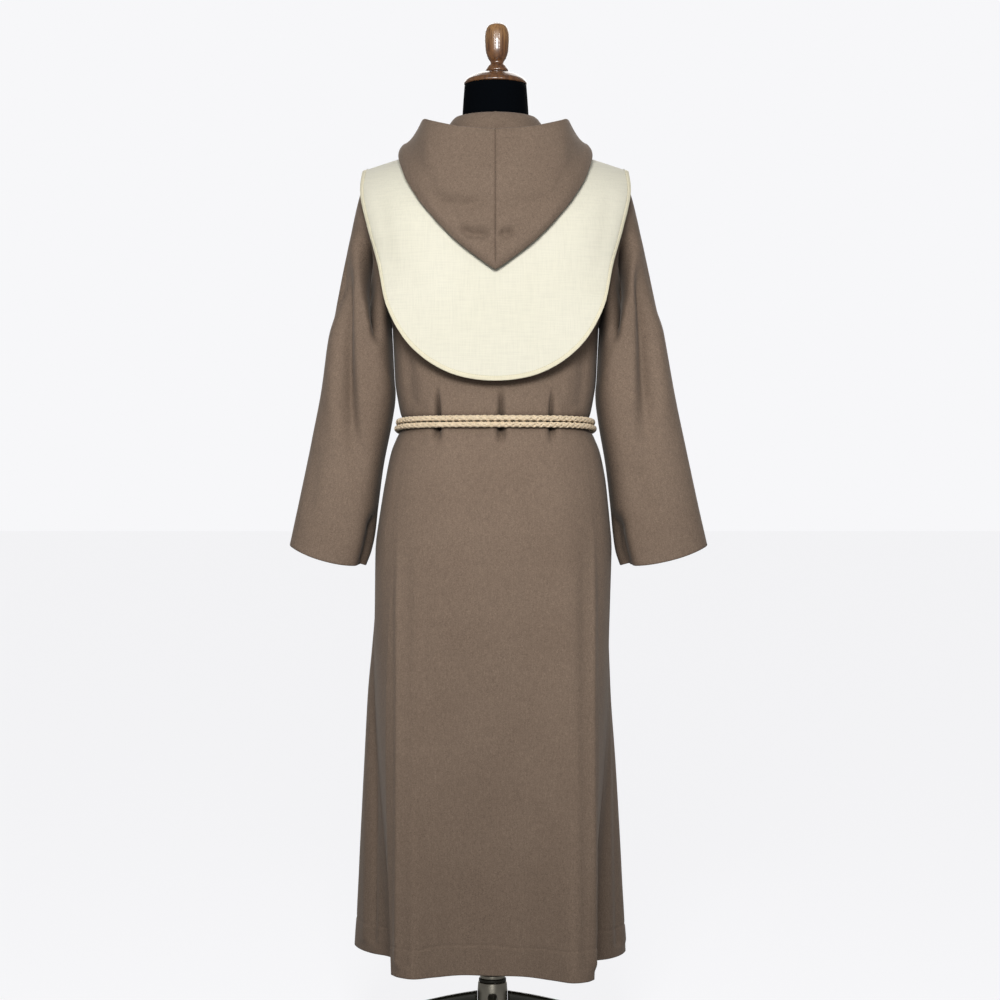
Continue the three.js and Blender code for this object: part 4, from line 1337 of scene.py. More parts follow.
            folds = [
                Crease(((70, 1000), (84, 760), (100, 400)), 4, 22, widens=1.6),
                Crease(((-66, 1000), (-88, 760), (-104, 400)), 4, 22, widens=1.6),
                Crease(((20, 980), (34, 700), (36, 300)), -3, 20, widens=1.5),
                Crease(((-24, 960), (-34, 680), (-40, 300)), -3, 20, widens=1.5),
                Crease(((60, 1300), (30, 1210), (10, 1120)), 3, 14),
                Crease(((-62, 1290), (-34, 1205), (-12, 1115)), 3, 14),
                Crease(((140, 1180), (134, 1050)), 3, 9),
                Crease(((-140, 1180), (-134, 1050)), 3, 9),
            ]
            for s in (1, -1):
                folds.append(Crease(((s * 190, 840), (s * 198, 600), (s * 204, 160)), 5, 6, fade_out=0.02))
                folds.append(Crease(((s * 205, 700), (s * 216, 420), (s * 220, 160)), -2.5, 6, fade_out=0.02))
        drop = 0 if face is Face.BACK else 18
        made = list(folds)
        for x, strength in darts:
            made.append(
                Crease(
                    ((x * 1.03, 1094 - drop), (x, 1044 - drop), (x, 1020 - drop)),
                    12 * strength,
                    3.2,
                    0.55,
                    0.05,
                )
            )
            made.append(
                Crease(
                    ((x, 1040 - drop), (x * 1.02, 1018 - drop), (x * 1.05, 982 - drop)),
                    11 * strength,
                    3.8,
                    0.05,
                    0.75,
                    2.4,
                )
            )
            for beside in (-13, 13):
                made.append(
                    Crease(
                        ((x + beside, 1080 - drop), (x + beside, 1036 - drop), (x + beside, 992 - drop)),
                        -1.8 * strength,
                        7,
                    )
                )
        return made

    def hem_line(self, grid: Array, normals: Array) -> Array:
        """Lets the turned-up hem show as a faint step with a stitch groove.

        Args:
            grid: Points of the panel.
            normals: Outward direction at each point.

        Returns:
            The moved points.
        """
        rise = grid[..., 2] - FORM.hem_z
        wander = 1.6 * np.sin(grid[..., 0] / 31) + 1.1 * np.sin(grid[..., 0] / 13 + 1)
        place = rise - self.hem_depth - wander
        step = 0.45 * (1 - smooth(-3, 1.5, place))
        groove = 0.75 * np.exp(-((place / 2.2) ** 2))
        pucker = 0.5 * np.exp(-((place / 16) ** 2)) * np.sin(
            grid[..., 0] / 9.5 + 2 * np.sin(grid[..., 0] / 41)
        )
        return grid + normals * (step - groove + pucker)[..., None]

    def build_panel(self, face: Face) -> Piece:
        """Makes one panel.

        Args:
            face: Which panel.

        Returns:
            The piece.
        """
        grid = self.panel(face)
        outside = np.array([0.0, face.value, 0.0])
        normals = outward_normals(grid, False, outside)
        pressed = creased(grid, normals, self.creases(face))
        from_seam = np.minimum(np.arange(grid.shape[1]), np.arange(grid.shape[1])[::-1])
        grid = mix(grid, pressed, smooth(0, self.seam_columns, from_seam)[None, :, None])
        grid = self.hem_line(grid, normals)
        normals = outward_normals(grid, False, outside)
        half = self.seam_gap / 2
        first, last = unit(grid[:, 1] - grid[:, 0]), unit(grid[:, -2] - grid[:, -1])
        grid[:, 0] += first * half
        grid[:, -1] += last * half
        grid[-1, :, 1] += face.value * half * (np.abs(grid[-1, :, 1]) < 1)
        name = "back" if face is Face.BACK else "front"
        piece = cloth_wall(f"tunic_{name}_panel", grid, normals, self.cloth)
        return self.dresser.dress(piece, Slot.WOOL, f"tunic_{name}")

    def build(self) -> None:
        """Makes both panels."""
        back, front = self.build_panel(Face.BACK), self.build_panel(Face.FRONT)


# ------------------------------------------------------------------------------ sleeves


@dataclass(frozen=True)
class Sleeve:
    """One flared sleeve, a tube from the armhole to the wide cuff."""

    dresser: Dresser
    side: Side
    cloth: float = 2.4
    seam_gap: float = 0.4
    power: float = 2.2
    cuff_bulge: float = 9
    rows: int = 150
    columns: int = 132
    flat: tuple[float, float] = (0.45, 0.66)
    area: float = 0.208
    inner_lines: dict[Side, Keys] = field(
        default_factory=lambda: {
            Side.LEFT: (
                (170.4, 1190), (168, 1140), (166, 1100), (164.6, 1085), (165.5, 1065), (168, 1048),
                (172.5, 1022), (184, 964), (192.5, 900), (198.5, 848),
                (205, 820), (213, 799),
            ),
            Side.RIGHT: (
                (170.4, 1190), (168, 1140), (166, 1100), (164.6, 1085), (165, 1065), (167, 1048),
                (171, 1022), (181, 964), (188.5, 900), (193.5, 848),
                (198, 820), (205, 799),
            ),
        }
    )
    outer_lines: dict[Side, Keys] = field(
        default_factory=lambda: {
            Side.LEFT: (
                (219, 1421), (241, 1330), (260, 1237), (286, 1088), (298, 1028), (326, 893), (339, 832)
            ),
            Side.RIGHT: (
                (219, 1421), (242, 1330), (262, 1237), (293, 1088), (306, 1028), (335, 893), (349, 832)
            ),
        }
    )
    depth: Keys = ((0, 58), (0.2, 62), (0.45, 60), (0.7, 56), (1, 54))

    @property
    def outer(self) -> Keys:
        """Outer line of the sleeve: x and z."""
        top = (FORM.armhole_top_x, FORM.armhole_top_z)
        return (top, *self.outer_lines[self.side])

    def creases(self) -> list[Crease]:
        """Creases of the back of this sleeve, which its front repeats.

        Returns:
            The creases.
        """
        armhole = Crease(
            ((222, 1362), (215, 1312), (206, 1268), (198, 1232), (192, 1196), (189, 1150)),
            38,
            11.5,
            0.3,
            0.3,
        )
        tuck = Crease(((208, 1236), (204, 1206), (201, 1176)), -5, 7)
        corner = Crease(((192, 896), (199, 846), (209, 800)), 13, 10, 0.4, 0.0, 1.2)
        if self.side is Side.LEFT:
            long_fold = [
                Crease(
                    ((244, 1330), (247, 1240), (242, 1140), (236, 1060), (226, 980), (220, 900)),
                    19,
                    13,
                    0.25,
                    0.45,
                    1.3,
                ),
                Crease(
                    ((231, 1310), (233, 1220), (227, 1120), (220, 1040), (210, 960)), -5, 8, 0.3, 0.3, 1.2
                ),
                Crease(((262, 1240), (266, 1150), (264, 1060), (258, 960)), -5, 16),
                Crease(((292, 1010), (300, 940), (308, 870)), 4, 14),
            ]
        else:
            long_fold = [
                Crease(
                    ((238, 1330), (242, 1220), (243, 1110), (246, 1010), (252, 930)),
                    18,
                    13,
                    0.25,
                    0.45,
                    1.3,
                ),
                Crease(((226, 1300), (228, 1200), (226, 1090), (222, 1000)), -5, 8, 0.3, 0.3, 1.2),
                Crease(((262, 1230), (270, 1130), (278, 1020)), -5, 16),
                Crease(((226, 970), (244, 905), (268, 872)), 5, 14),
            ]
        made = [armhole, tuck, corner, *long_fold]
        return made if self.side is Side.LEFT else [crease.mirrored() for crease in made]

    def grid(self) -> Array:
        """Outer points of the plain tube.

        Returns:
            Rows x columns x 3 points from the armhole to the cuff.
        """
        turn = np.arange(self.columns) * 2 * math.pi / self.columns
        c, s = np.cos(turn), np.sin(turn)
        top = FORM.armhole_top_z
        hole_z = top - (1 - c) / 2 * (top - FORM.underarm_z)
        hole_x = FORM.armhole_x(hole_z)
        hole_y = np.sign(s) * FORM.armhole_depth(hole_z) * FORM.rounded_over(hole_x, hole_z, FORM.tunic_lift)
        share = np.linspace(0, 1, self.rows)
        outer, inner = evenly(self.outer, share), evenly(self.inner_lines[self.side], share)
        centre, reach = (outer + inner) / 2, (outer - inner) / 2
        settled = smooth(0, 0.3, share)[:, None]
        power = 2 / self.power
        outwards = mix(c[None], (np.sign(c) * np.abs(c) ** power)[None], settled)
        x = centre[:, :1] + reach[:, :1] * outwards
        z = centre[:, 1:] + reach[:, 1:] * outwards - self.cuff_bulge * (s * s)[None] * smooth(
            0.75, 1, share
        )[:, None]
        across = np.sign(s)[None] * along(self.depth, share)[:, None] * (np.abs(s) ** power)[None]
        y = mix(hole_y[None], across, settled)
        x[0], y[0], z[0] = hole_x, hole_y, hole_z
        return np.stack([self.side.value * (x + self.seam_gap / 2), y, z], axis=-1)

    def build(self) -> None:
        """Makes the sleeve."""
        grid = self.grid()
        middle = grid[self.rows // 2]
        outside = middle[self.columns // 2] - middle.mean(0)
        normals = outward_normals(grid, True, outside)
        grid = creased(grid, normals, self.creases(), Face.BACK)
        grid = creased(grid, normals, self.creases(), Face.FRONT)
        normals = outward_normals(grid, True, outside)
        hole = grid[0] - grid[0].mean(0)
        hole[:, 0] = 0
        normals[0] = unit(hole)
        name = self.side.name.lower()
        piece = cloth_wall(f"sleeve_{name}_cloth", grid, normals, self.cloth, wraps=True)
        self.dresser.dress(piece, Slot.WOOL, f"sleeve_{name}")


# ------------------------------------------------------------------------------ cape


@dataclass(frozen=True)
class ShoulderCape:
    """Broad cream cape over the shoulders, U-shaped at the back, with a stitched turned edge."""

    dresser: Dresser
    cloth: float = 2.0
    lift: float = 10
    stand_off: float = 10
    hang_z: float = 1300
    front_closer: float = 6
    neck_x: float = 79
    neck_back_y: float = 70
    neck_front_y: float = 74
    columns: int = 84
    edge_band: float = 6.5
    flat: tuple[float, float] = (0.62, 0.78)
    area: float = 0.30
    back_edge: Keys = (
        (218, 1449), (219.5, 1405), (206, 1345), (189, 1285), (172, 1212), (134, 1150), (74, 1109),
        (0, 1096),
    )
    front_edge: Keys = (
        (218, 1449), (219, 1410), (205, 1358), (187, 1305), (168, 1248), (130, 1192), (70, 1156), (0, 1144)
    )
    half_width: Keys = ((1096, 190), (1285, 195), (1345, 212), (1405, 226), (1449, 226))
    edge_depth: Keys = ((1096, 128), (1195, 112), (1244, 99), (1330, 76), (1400, 60), (1449, 56))

    def depth(self, x: Array, z: Array, face: Face, lift: float) -> Array:
        """Depth of the cape, or of a layer that lies over it.

        Args:
            x: Places across.
            z: Heights.
            face: Back or front.
            lift: Lift of the layer over the body, the cape's own for the cape.

        Returns:
            Distances from the middle plane.
        """
        full = FORM.full_depth(np.maximum(z, self.hang_z), face) + self.stand_off
        edge = along(self.edge_depth, z) - (0 if face is Face.BACK else self.front_closer)
        oval = FORM.super_oval(np.abs(x) / along(self.half_width, z), 2)
        return (edge + (full - edge) * oval + lift - self.lift) * FORM.rounded_over(x, z, lift)

    def quarter(self, face: Face) -> Array:
        """Columns of one quarter, from the shoulder round to the middle.

        Args:
            face: Back or front.

        Returns:
            Columns x rows x 3 points, each column from the outline up to the neck.
        """
        turn = np.linspace(0, 1, self.columns + 1)
        half = list(self.back_edge if face is Face.BACK else self.front_edge)
        whole = half + [(-x, z) for x, z in half[-2::-1]]
        outline = evenly(whole, turn**1.5 / 2)
        angle = turn * math.pi / 2
        neck_x = self.neck_x * np.cos(angle)
        neck_y = (self.neck_back_y if face is Face.BACK else self.neck_front_y) * np.sin(angle)
        level = FORM.ridge_z(0, self.lift) - neck_y / 4
        neck_z = FORM.shoulder_z(neck_x, neck_y, FORM.full_depth(level, face) + self.stand_off, self.lift)
        drop = np.hypot(outline[:, 0] - neck_x, outline[:, 1] - neck_z)[:, None]
        near = np.linspace(0, 12, 16)[None] / drop
        rest = (near[:, -1:] + (1 - near[:, -1:]) * np.linspace(0, 1, 74)[None, 1:] ** 0.8)
        share = 1 - np.concatenate([near, rest], axis=1)
        x = mix(neck_x[:, None], np.maximum(outline[:, :1], 0), share)
        z = np.minimum(mix(neck_z[:, None], outline[:, 1:], share), FORM.ridge_z(x, self.lift))
        z[0] = FORM.ridge_z(x[0], self.lift)
        y = face.value * self.depth(x, z, face, self.lift)
        y[0] = 0
        return np.stack([x, y, z], axis=-1)

    def grid(self) -> Array:
        """Outer points of the whole cape.

        Returns:
            Rows x columns x 3 points from the outline to the neck.
        """
        back, front = self.quarter(Face.BACK), self.quarter(Face.FRONT)
        mirror = np.array([-1.0, 1.0, 1.0])
        columns = np.concatenate([back[:-1], (back[1:] * mirror)[::-1], front[:-1] * mirror, front[1:][::-1]])
        return columns.transpose(1, 0, 2)

    def stitched(self, grid: Array, normals: Array) -> Array:
        """Raises the turned edge and sinks its row of stitches.

        Args:
            grid: Points of the cape.
            normals: Outward direction at each point.

        Returns:
            The moved points.
        """
        run = np.cumsum(np.linalg.norm(np.diff(grid, axis=0), axis=-1), axis=0)
        away = np.concatenate([np.zeros((1, grid.shape[1])), run])
        band = 0.55 * (1 - smooth(self.edge_band - 1.2, self.edge_band + 0.6, away))
        groove = 0.5 * np.exp(-(((away - self.edge_band) / 0.9) ** 2))
        return grid + normals * (band - groove)[..., None]

    def build(self) -> None:
        """Makes the cape."""
        grid = self.grid()
        outside = grid[grid.shape[0] // 2, grid.shape[1] // 2] * np.array([1.0, 1.0, 0.0])
        normals = outward_normals(grid, True, outside)
        swells = [
            Crease(((150, 1400), (120, 1290), (70, 1180)), -1.4, 26),
            Crease(((-146, 1400), (-122, 1290), (-66, 1190)), -1.2, 26),
            Crease(((30, 1250), (24, 1180), (20, 1110)), 1.2, 22),
            Crease(((-96, 1250), (-80, 1180), (-60, 1130)), 1.0, 20),
            Crease(((190, 1420), (176, 1330), (160, 1240)), 1.3, 12),
            Crease(((-190, 1420), (-176, 1330), (-158, 1240)), 1.2, 12),
        ]
        grid = creased(grid, normals, swells)
        grid = self.stitched(grid, normals)
        normals = outward_normals(grid, True, outside)
        piece = cloth_wall("cape_cloth", grid, normals, self.cloth, wraps=True)
        self.dresser.dress(piece, Slot.CREAM, "shoulder_cape")


# ------------------------------------------------------------------------------ hood


@dataclass(frozen=True)
class Hood:
    """Pointed hood lying down the back, in two halves seamed along the middle."""

    dresser: Dresser
    cape: ShoulderCape
    cloth: float = 2.4
    seam_gap: float = 0.4
    lift: float = 15.5
    fold: float = 8
    bulge: float = 7
    side_bulge: float = -5
    seat_gap: float = 1.1
    collar_top_z: float = 1532
    collar_front_drop: float = 22
    collar_radius: float = 61
    collar_back_out: float = 4
    collar_front_out: float = 6
    collar_roll: Keys = ((0, 9), (5, 0), (15, 11))
    landing_x: float = 88
    landing_fall: float = 41
    hang_per_degree: float = 2.4
    columns: int = 92
    flat: tuple[float, float] = (0.30, 0.42)
    area: float = 0.095
    fold_x: Keys = (
        (0, 0), (0.1, 30), (0.2, 62), (0.3, 95), (0.4, 125), (0.5, 148), (0.58, 158), (0.65, 155),
        (0.75, 130), (0.87, 82), (1, 0),
    )
    fold_fall: Keys = (
        (0, 131.2), (0.02, 129.8), (0.1, 121), (0.2, 107), (0.3, 89), (0.4, 71), (0.5, 49), (0.58, 24),
        (0.65, 0), (0.75, -27), (0.87, -48), (1, -57),
    )
    rim_x: Keys = (
        (0, 0), (0.1, 28), (0.2, 56), (0.3, 83), (0.4, 105), (0.5, 117), (0.58, 121), (0.65, 119),
        (0.75, 104), (0.87, 68), (1, 0),
    )
    rim_y: Keys = (
        (0, 143), (0.2, 137), (0.3, 125), (0.4, 106), (0.5, 79), (0.58, 50), (0.65, 20), (0.75, -36),
        (0.87, -84), (1, -110),
    )
    rim_z: Keys = (
        (0, 1494), (0.2, 1499), (0.3, 1506), (0.4, 1514), (0.5, 1520), (0.58, 1519), (0.65, 1513),
        (0.75, 1500), (0.87, 1483),
        (1, 1470),
    )

    def over_cape(self, x: float, fall: float, lift: float) -> Array:
        """Point of a layer that lies over the cape.

        Args:
            x: Place across.
            fall: Degrees over the shoulder, positive to the back; past 90 the layer hangs.
            lift: Lift of the layer over the body.

        Returns:
            The point.
        """
        face = Face.BACK if fall >= 0 else Face.FRONT
        over, hang = min(abs(fall), 90), max(abs(fall) - 90, 0)
        z = FORM.ridge_z(x, lift) - (FORM.fall + lift) * (
            1 - math.cos(math.radians(over))
        ) - hang * self.hang_per_degree
        y = face.value * self.cape.depth(np.array(x), np.array(z), face, lift)
        return np.array([x, float(y), float(z)])

    def column(self, share: float) -> Array:
        """Profile of the hood from its seam on the neckline to its face edge.

        Args:
            share: Where round the hood, 0 at the point on the back and 1 at the throat.

        Returns:
            The profile's stations.
        """
        turn = share * math.pi

        def around(x: float, back: float, front: float, z: float) -> Array:
            """Point on an oval round the neck."""
            return np.array([x * math.sin(turn), (back if turn < math.pi / 2 else front) * math.cos(turn), z])

        edge = around(FORM.neckline_x, FORM.neckline_back_y, FORM.neckline_front_y, 0)
        seat = around(
            FORM.neckline_x + self.cloth,
            FORM.neckline_back_y + self.cloth,
            FORM.neckline_front_y + self.cloth,
            0,
        )
        face = Face.BACK if seat[1] >= 0 else Face.FRONT
        level = FORM.ridge_z(0, FORM.tunic_lift) - abs(seat[1]) / 4
        seat[2] = FORM.shoulder_z(
            edge[0], edge[1], FORM.full_depth(level, face), FORM.tunic_lift
        ) + self.seat_gap
        top = self.collar_top_z - self.collar_front_drop * float(smooth(0.35, 1, share))
        collar = []
        for out, drop in self.collar_roll:
            radius = self.collar_radius + out
            collar.append(
                around(radius, radius + self.collar_back_out, radius + self.collar_front_out, top - drop)
            )
        fold_x, fold_fall = float(along(self.fold_x, share)), float(along(self.fold_fall, share))
        land_x, land_fall = self.landing_x * math.sin(turn), self.landing_fall * math.cos(turn)
        reach = np.linalg.norm(
            self.over_cape(land_x, land_fall, self.lift) - self.over_cape(fold_x, fold_fall, self.lift)
        )
        back = 1 - self.fold / reach

        def lying(t: float, lift: float) -> Array:
            """Point of the layer that lies on the cape."""
            return self.over_cape(float(mix(land_x, fold_x, t)), float(mix(land_fall, fold_fall, t)), lift)

        rim = np.array([float(along(keys, share)) for keys in (self.rim_x, self.rim_y, self.rim_z)])
        start = lying(back, self.lift + 2 * self.fold)
        outwards = unit(start - lying(back, self.lift))
        bulge = mix(
            self.bulge, self.side_bulge, float(smooth(0.38, 0.56, share) * (1 - smooth(0.72, 0.9, share)))
        )
        standing = [
            mix(start, rim, t) + outwards * bulge * math.sin(math.pi * t) for t in (0.2, 0.4, 0.6, 0.8)
        ]
        layer = [lying(back * t, self.lift) for t in (0, 0.13, 0.28, 0.48, 0.74, 1)]
        return np.array(
            [
                seat,
                mix(seat, collar[0], 0.55),
                *collar,
                *layer,
                lying(1, self.lift + self.fold),
                start,
                *standing,
                rim,
            ]
        )

    def creases(self) -> list[Crease]:
        """The seam's groove and the soft wrinkles above the point.

        Returns:
            The creases of the outer layer.
        """
        return [
            Crease(((0, 1530), (0, 1380), (0, 1276)), 2.0, 2.2, 0.02, 0.02),
            Crease(((60, 1337), (38, 1325), (18, 1324), (5, 1331)), 7.5, 7.5),
            Crease(((-5, 1331), (-14, 1324), (-32, 1330)), 6.5, 7),
            Crease(((62, 1352), (36, 1342), (4, 1347)), -2.6, 9),
            Crease(((-4, 1347), (-16, 1341), (-36, 1346)), -2.2, 9),
            Crease(((108, 1392), (80, 1374), (44, 1371), (6, 1378)), 5.5, 11),
            Crease(((-6, 1378), (-50, 1372), (-92, 1386)), 3.6, 12),
            Crease(((104, 1410), (70, 1394), (20, 1394)), -3.0, 13),
            Crease(((-20, 1394), (-70, 1394), (-100, 1406)), -2.0, 13),
            Crease(((128, 1490), (120, 1440), (96, 1396)), 2.6, 12),
            Crease(((-128, 1490), (-120, 1440), (-96, 1396)), 2.6, 12),
            Crease(((40, 1500), (52, 1470), (50, 1440)), 1.8, 14),
            Crease(((-34, 1500), (-46, 1465), (-44, 1430)), 1.8, 14),
        ]

    def build_half(self, side: Side) -> Piece:
        """Makes one half.

        Args:
            side: Left or right.

        Returns:
            The piece.
        """
        stations = np.array([self.column(share) for share in np.linspace(0, 1, self.columns)])
        cells = stations.shape[1] - 1
        marks = np.concatenate(
            [
                np.linspace(0, 5, 26),
                np.linspace(5, 10, 32)[1:],
                np.linspace(10, 12, 16)[1:],
                np.linspace(12, cells, 96)[1:],
            ]
        )
        grid = curve(stations, marks / cells).transpose(1, 0, 2)
        grid[..., 0] = side.value * np.maximum(grid[..., 0], self.seam_gap / 2)
        row = grid.shape[0] - 40
        outside = np.array([0.0, 1.0, 0.3])
        up, across = rows_and_columns(grid, False)
        normals = unit(np.cross(across, up))
        if float(np.dot(normals[row, 4], outside)) < 0:
            normals = -normals
        seam = smooth(0, 12, marks - 11.2)[:, None] > 0
        push = sum(crease.push(grid[..., 0], grid[..., 2]) for crease in self.creases())
        push = push * seam * smooth(0, 30, grid[..., 1])
        collar_seam = -1.0 * np.exp(-((grid[..., 0] / 2.2) ** 2)) * (marks < 5)[:, None]
        grid = grid + normals * (push + collar_seam)[..., None]
        up, across = rows_and_columns(grid, False)
        fresh = unit(np.cross(across, up))
        normals = fresh * np.sign(np.sum(fresh * normals, axis=-1, keepdims=True))
        normals[:, 0, 0] = 0
        normals[:, -1, 0] = 0
        name = side.name.lower()
        piece = cloth_wall(f"hood_{name}_half", grid, unit(normals), self.cloth)
        return self.dresser.dress(piece, Slot.WOOL, f"hood_{name}")

    def build(self) -> None:
        """Makes both halves."""
        for side in Side:
            half = self.build_half(side)


# ------------------------------------------------------------------------------ rope belt


@dataclass(frozen=True)
class Braid:
    """A round braid of six plaits, three each way."""

    diameter: float = 10
    lay: float = 34
    plaits: int = 3
    swing: float = 0.7
    plait_half_width: float = 2.35
    plait_half_height: float = 1.35
    steps_per_lay: int = 21
    sides: int = 6

    def build(self, name: str, path: Array) -> Piece:
        """Makes the braid along a line.

        Args:
            name: Name of the piece.
            path: Points of its middle line in millimetres.

        Returns:
            The new object.
        """
        run = lengths_along(path)
        count = max(12, int(run[-1] / self.lay * self.steps_per_lay))
        s = np.linspace(0, run[-1], count)
        line = np.stack([np.interp(s, run, path[:, axis]) for axis in range(3)], axis=-1)
        _, beside, above = path_frames(line)
        middle = self.diameter / 2 - self.swing - self.plait_half_height
        points, quads, used = [], [], 0
        for way in (1, -1):
            for k in range(self.plaits):
                turn = way * 2 * math.pi * s / self.lay + k * 2 * math.pi / self.plaits
                turn = turn + (math.pi / self.plaits if way < 0 else 0)
                weave = np.cos(2 * math.pi * self.plaits * s / self.lay - way * math.pi / 2)
                outwards = np.cos(turn)[:, None] * beside + np.sin(turn)[:, None] * above
                plait = line + outwards * (middle + self.swing * weave)[:, None]
                tangent = unit(np.gradient(plait, axis=0))
                across = unit(np.cross(tangent, outwards))
                made, faces = tube(
                    plait, self.plait_half_width, self.plait_half_height, across, outwards, self.sides
                )
                points.append(made)
                quads.append(faces + used)
                used += len(made)
        core, faces = tube(line, middle, middle, beside, above, 8)
        points.append(core)
        quads.append(faces + used)
        return mesh_object(name, np.concatenate(points), np.concatenate(quads).tolist())


@dataclass(frozen=True)
class RopeBelt:
    """Rope passed twice round the waist and tied in front, with two knotted ends."""

    dresser: Dresser
    braid: Braid = Braid()
    seam_gap: float = 0.4
    clearance: float = 2.6
    drop_front: float = 20
    drop_power: float = 2.4
    knot_half_angle: float = 5.4
    knot_place: Triple = (0, -128, 1012)
    knot_half_sizes: Triple = (24, 14, 21)
    end_knot_half_sizes: Triple = (9, 9, 14)
    tail_left: tuple[Triple, ...] = (
        (9, -128, 989.5), (11, -129, 975), (14, -131, 950), (17, -136, 920), (20, -141, 880),
        (22, -145, 840), (23, -148.5, 800),
        (23, -150.3, 760), (22, -152.2, 720), (22, -154, 680), (21, -155.3, 645), (21, -156.8, 620),
        (21, -159.8, 600),
    )
    tail_right: tuple[Triple, ...] = (
        (-9, -128, 989.5), (-12, -128.5, 975), (-16, -130, 950), (-20, -135.5, 920), (-23, -140.7, 880),
        (-26, -144.5, 840),
        (-28, -147.8, 800), (-29, -149.4, 760), (-30, -150.8, 720), (-30, -152.2, 680), (-31, -153.2, 640),
        (-31, -154.2, 605),
        (-31, -155.6, 580), (-31, -158.6, 560),
    )

    def turn_path(self, offset: float) -> Array:
        """Middle line of one turn round the waist.

        Args:
            offset: Millimetres above the belt's middle.

        Returns:
            Points of the line.
        """
        degrees = np.linspace(-90 + self.knot_half_angle, 270 - self.knot_half_angle, 241)
        front = (1 - np.sin(np.radians(degrees))) / 2
        z = FORM.belt_z - self.drop_front * front**self.drop_power + offset
        x, y = FORM.oval(np.minimum(z, FORM.belt_z), degrees)
        out = 1 + (self.braid.diameter / 2 + self.clearance) / np.hypot(x, y)
        return np.stack([x * out, y * out, z], axis=-1)

    def wound_knot(
        self, name: str, centre: Sequence[float], half: Sequence[float], turns: float, rope: float
    ) -> Piece:
        """A knot made of rope wound round its own core.

        Args:
            name: Name of the piece.
            centre: Middle of the knot.
            half: Half sizes of the knot.
            turns: Turns of rope.
            rope: Half thickness of the rope in the knot.

        Returns:
            The new object.
        """
        t = np.linspace(0, 1, int(turns * 36))
        lean = (t - 0.5) * 2
        turn = 2 * math.pi * turns * t
        waist = np.sqrt(np.maximum(1 - (0.86 * lean) ** 2, 0.05))
        line = np.stack(
            [
                (half[0] - rope) * waist * np.cos(turn),
                (half[1] - rope) * waist * np.sin(turn),
                (half[2] - rope) * lean,
            ],
            axis=-1,
        ) + np.asarray(centre, float)
        _, beside, above = path_frames(line)
        points, faces = tube(line, rope, rope, beside, above, 12)
        rings = np.linspace(-0.96, 0.96, 15)
        around = np.arange(24) * 2 * math.pi / 24
        size = np.sqrt(1 - rings**2)[:, None]
        core = np.stack(
            [
                (half[0] - 1.4 * rope) * size * np.cos(around)[None],
                (half[1] - 1.4 * rope) * size * np.sin(around)[None],
                np.broadcast_to((half[2] - 0.6 * rope) * rings[:, None], (15, 24)),
            ],
            axis=-1,
        ) + np.asarray(centre, float)
        quads, _ = grid_quads(15, 24, True)
        everything = np.concatenate([points, core.reshape(-1, 3)])
        return mesh_object(name, everything, np.concatenate([faces, quads + len(points)]).tolist())

    def build(self) -> None:
        """Makes the turns, the tie, the hanging ends and their knots."""
        offset = (self.braid.diameter + self.seam_gap) / 2
        for name, side in (("upper", 1), ("lower", -1)):
            turn = self.braid.build(f"belt_{name}_turn", self.turn_path(side * offset))
            self.dresser.dress(turn, Slot.ROPE, f"belt_{name}")
        knot = self.wound_knot("belt_tie", self.knot_place, self.knot_half_sizes, 3.2, 5)
        self.dresser.dress(knot, Slot.ROPE, "belt_knot")
        for name, route in (("left", self.tail_left), ("right", self.tail_right)):
            path = evenly(route, np.linspace(0, 1, 80))
            tail = self.braid.build(f"belt_end_{name}", path)
            self.dresser.dress(tail, Slot.ROPE, f"cord_tail_{name}")
            end = route[-1]
            centre = (end[0], end[1], end[2] - self.end_knot_half_sizes[2] - self.seam_gap)
            stop = self.wound_knot(f"end_knot_{name}", centre, self.end_knot_half_sizes, 3.5, 3.6)
            self.dresser.dress(stop, Slot.ROPE, f"tail_knot_{name}")


# ------------------------------------------------------------------------------ form and stand


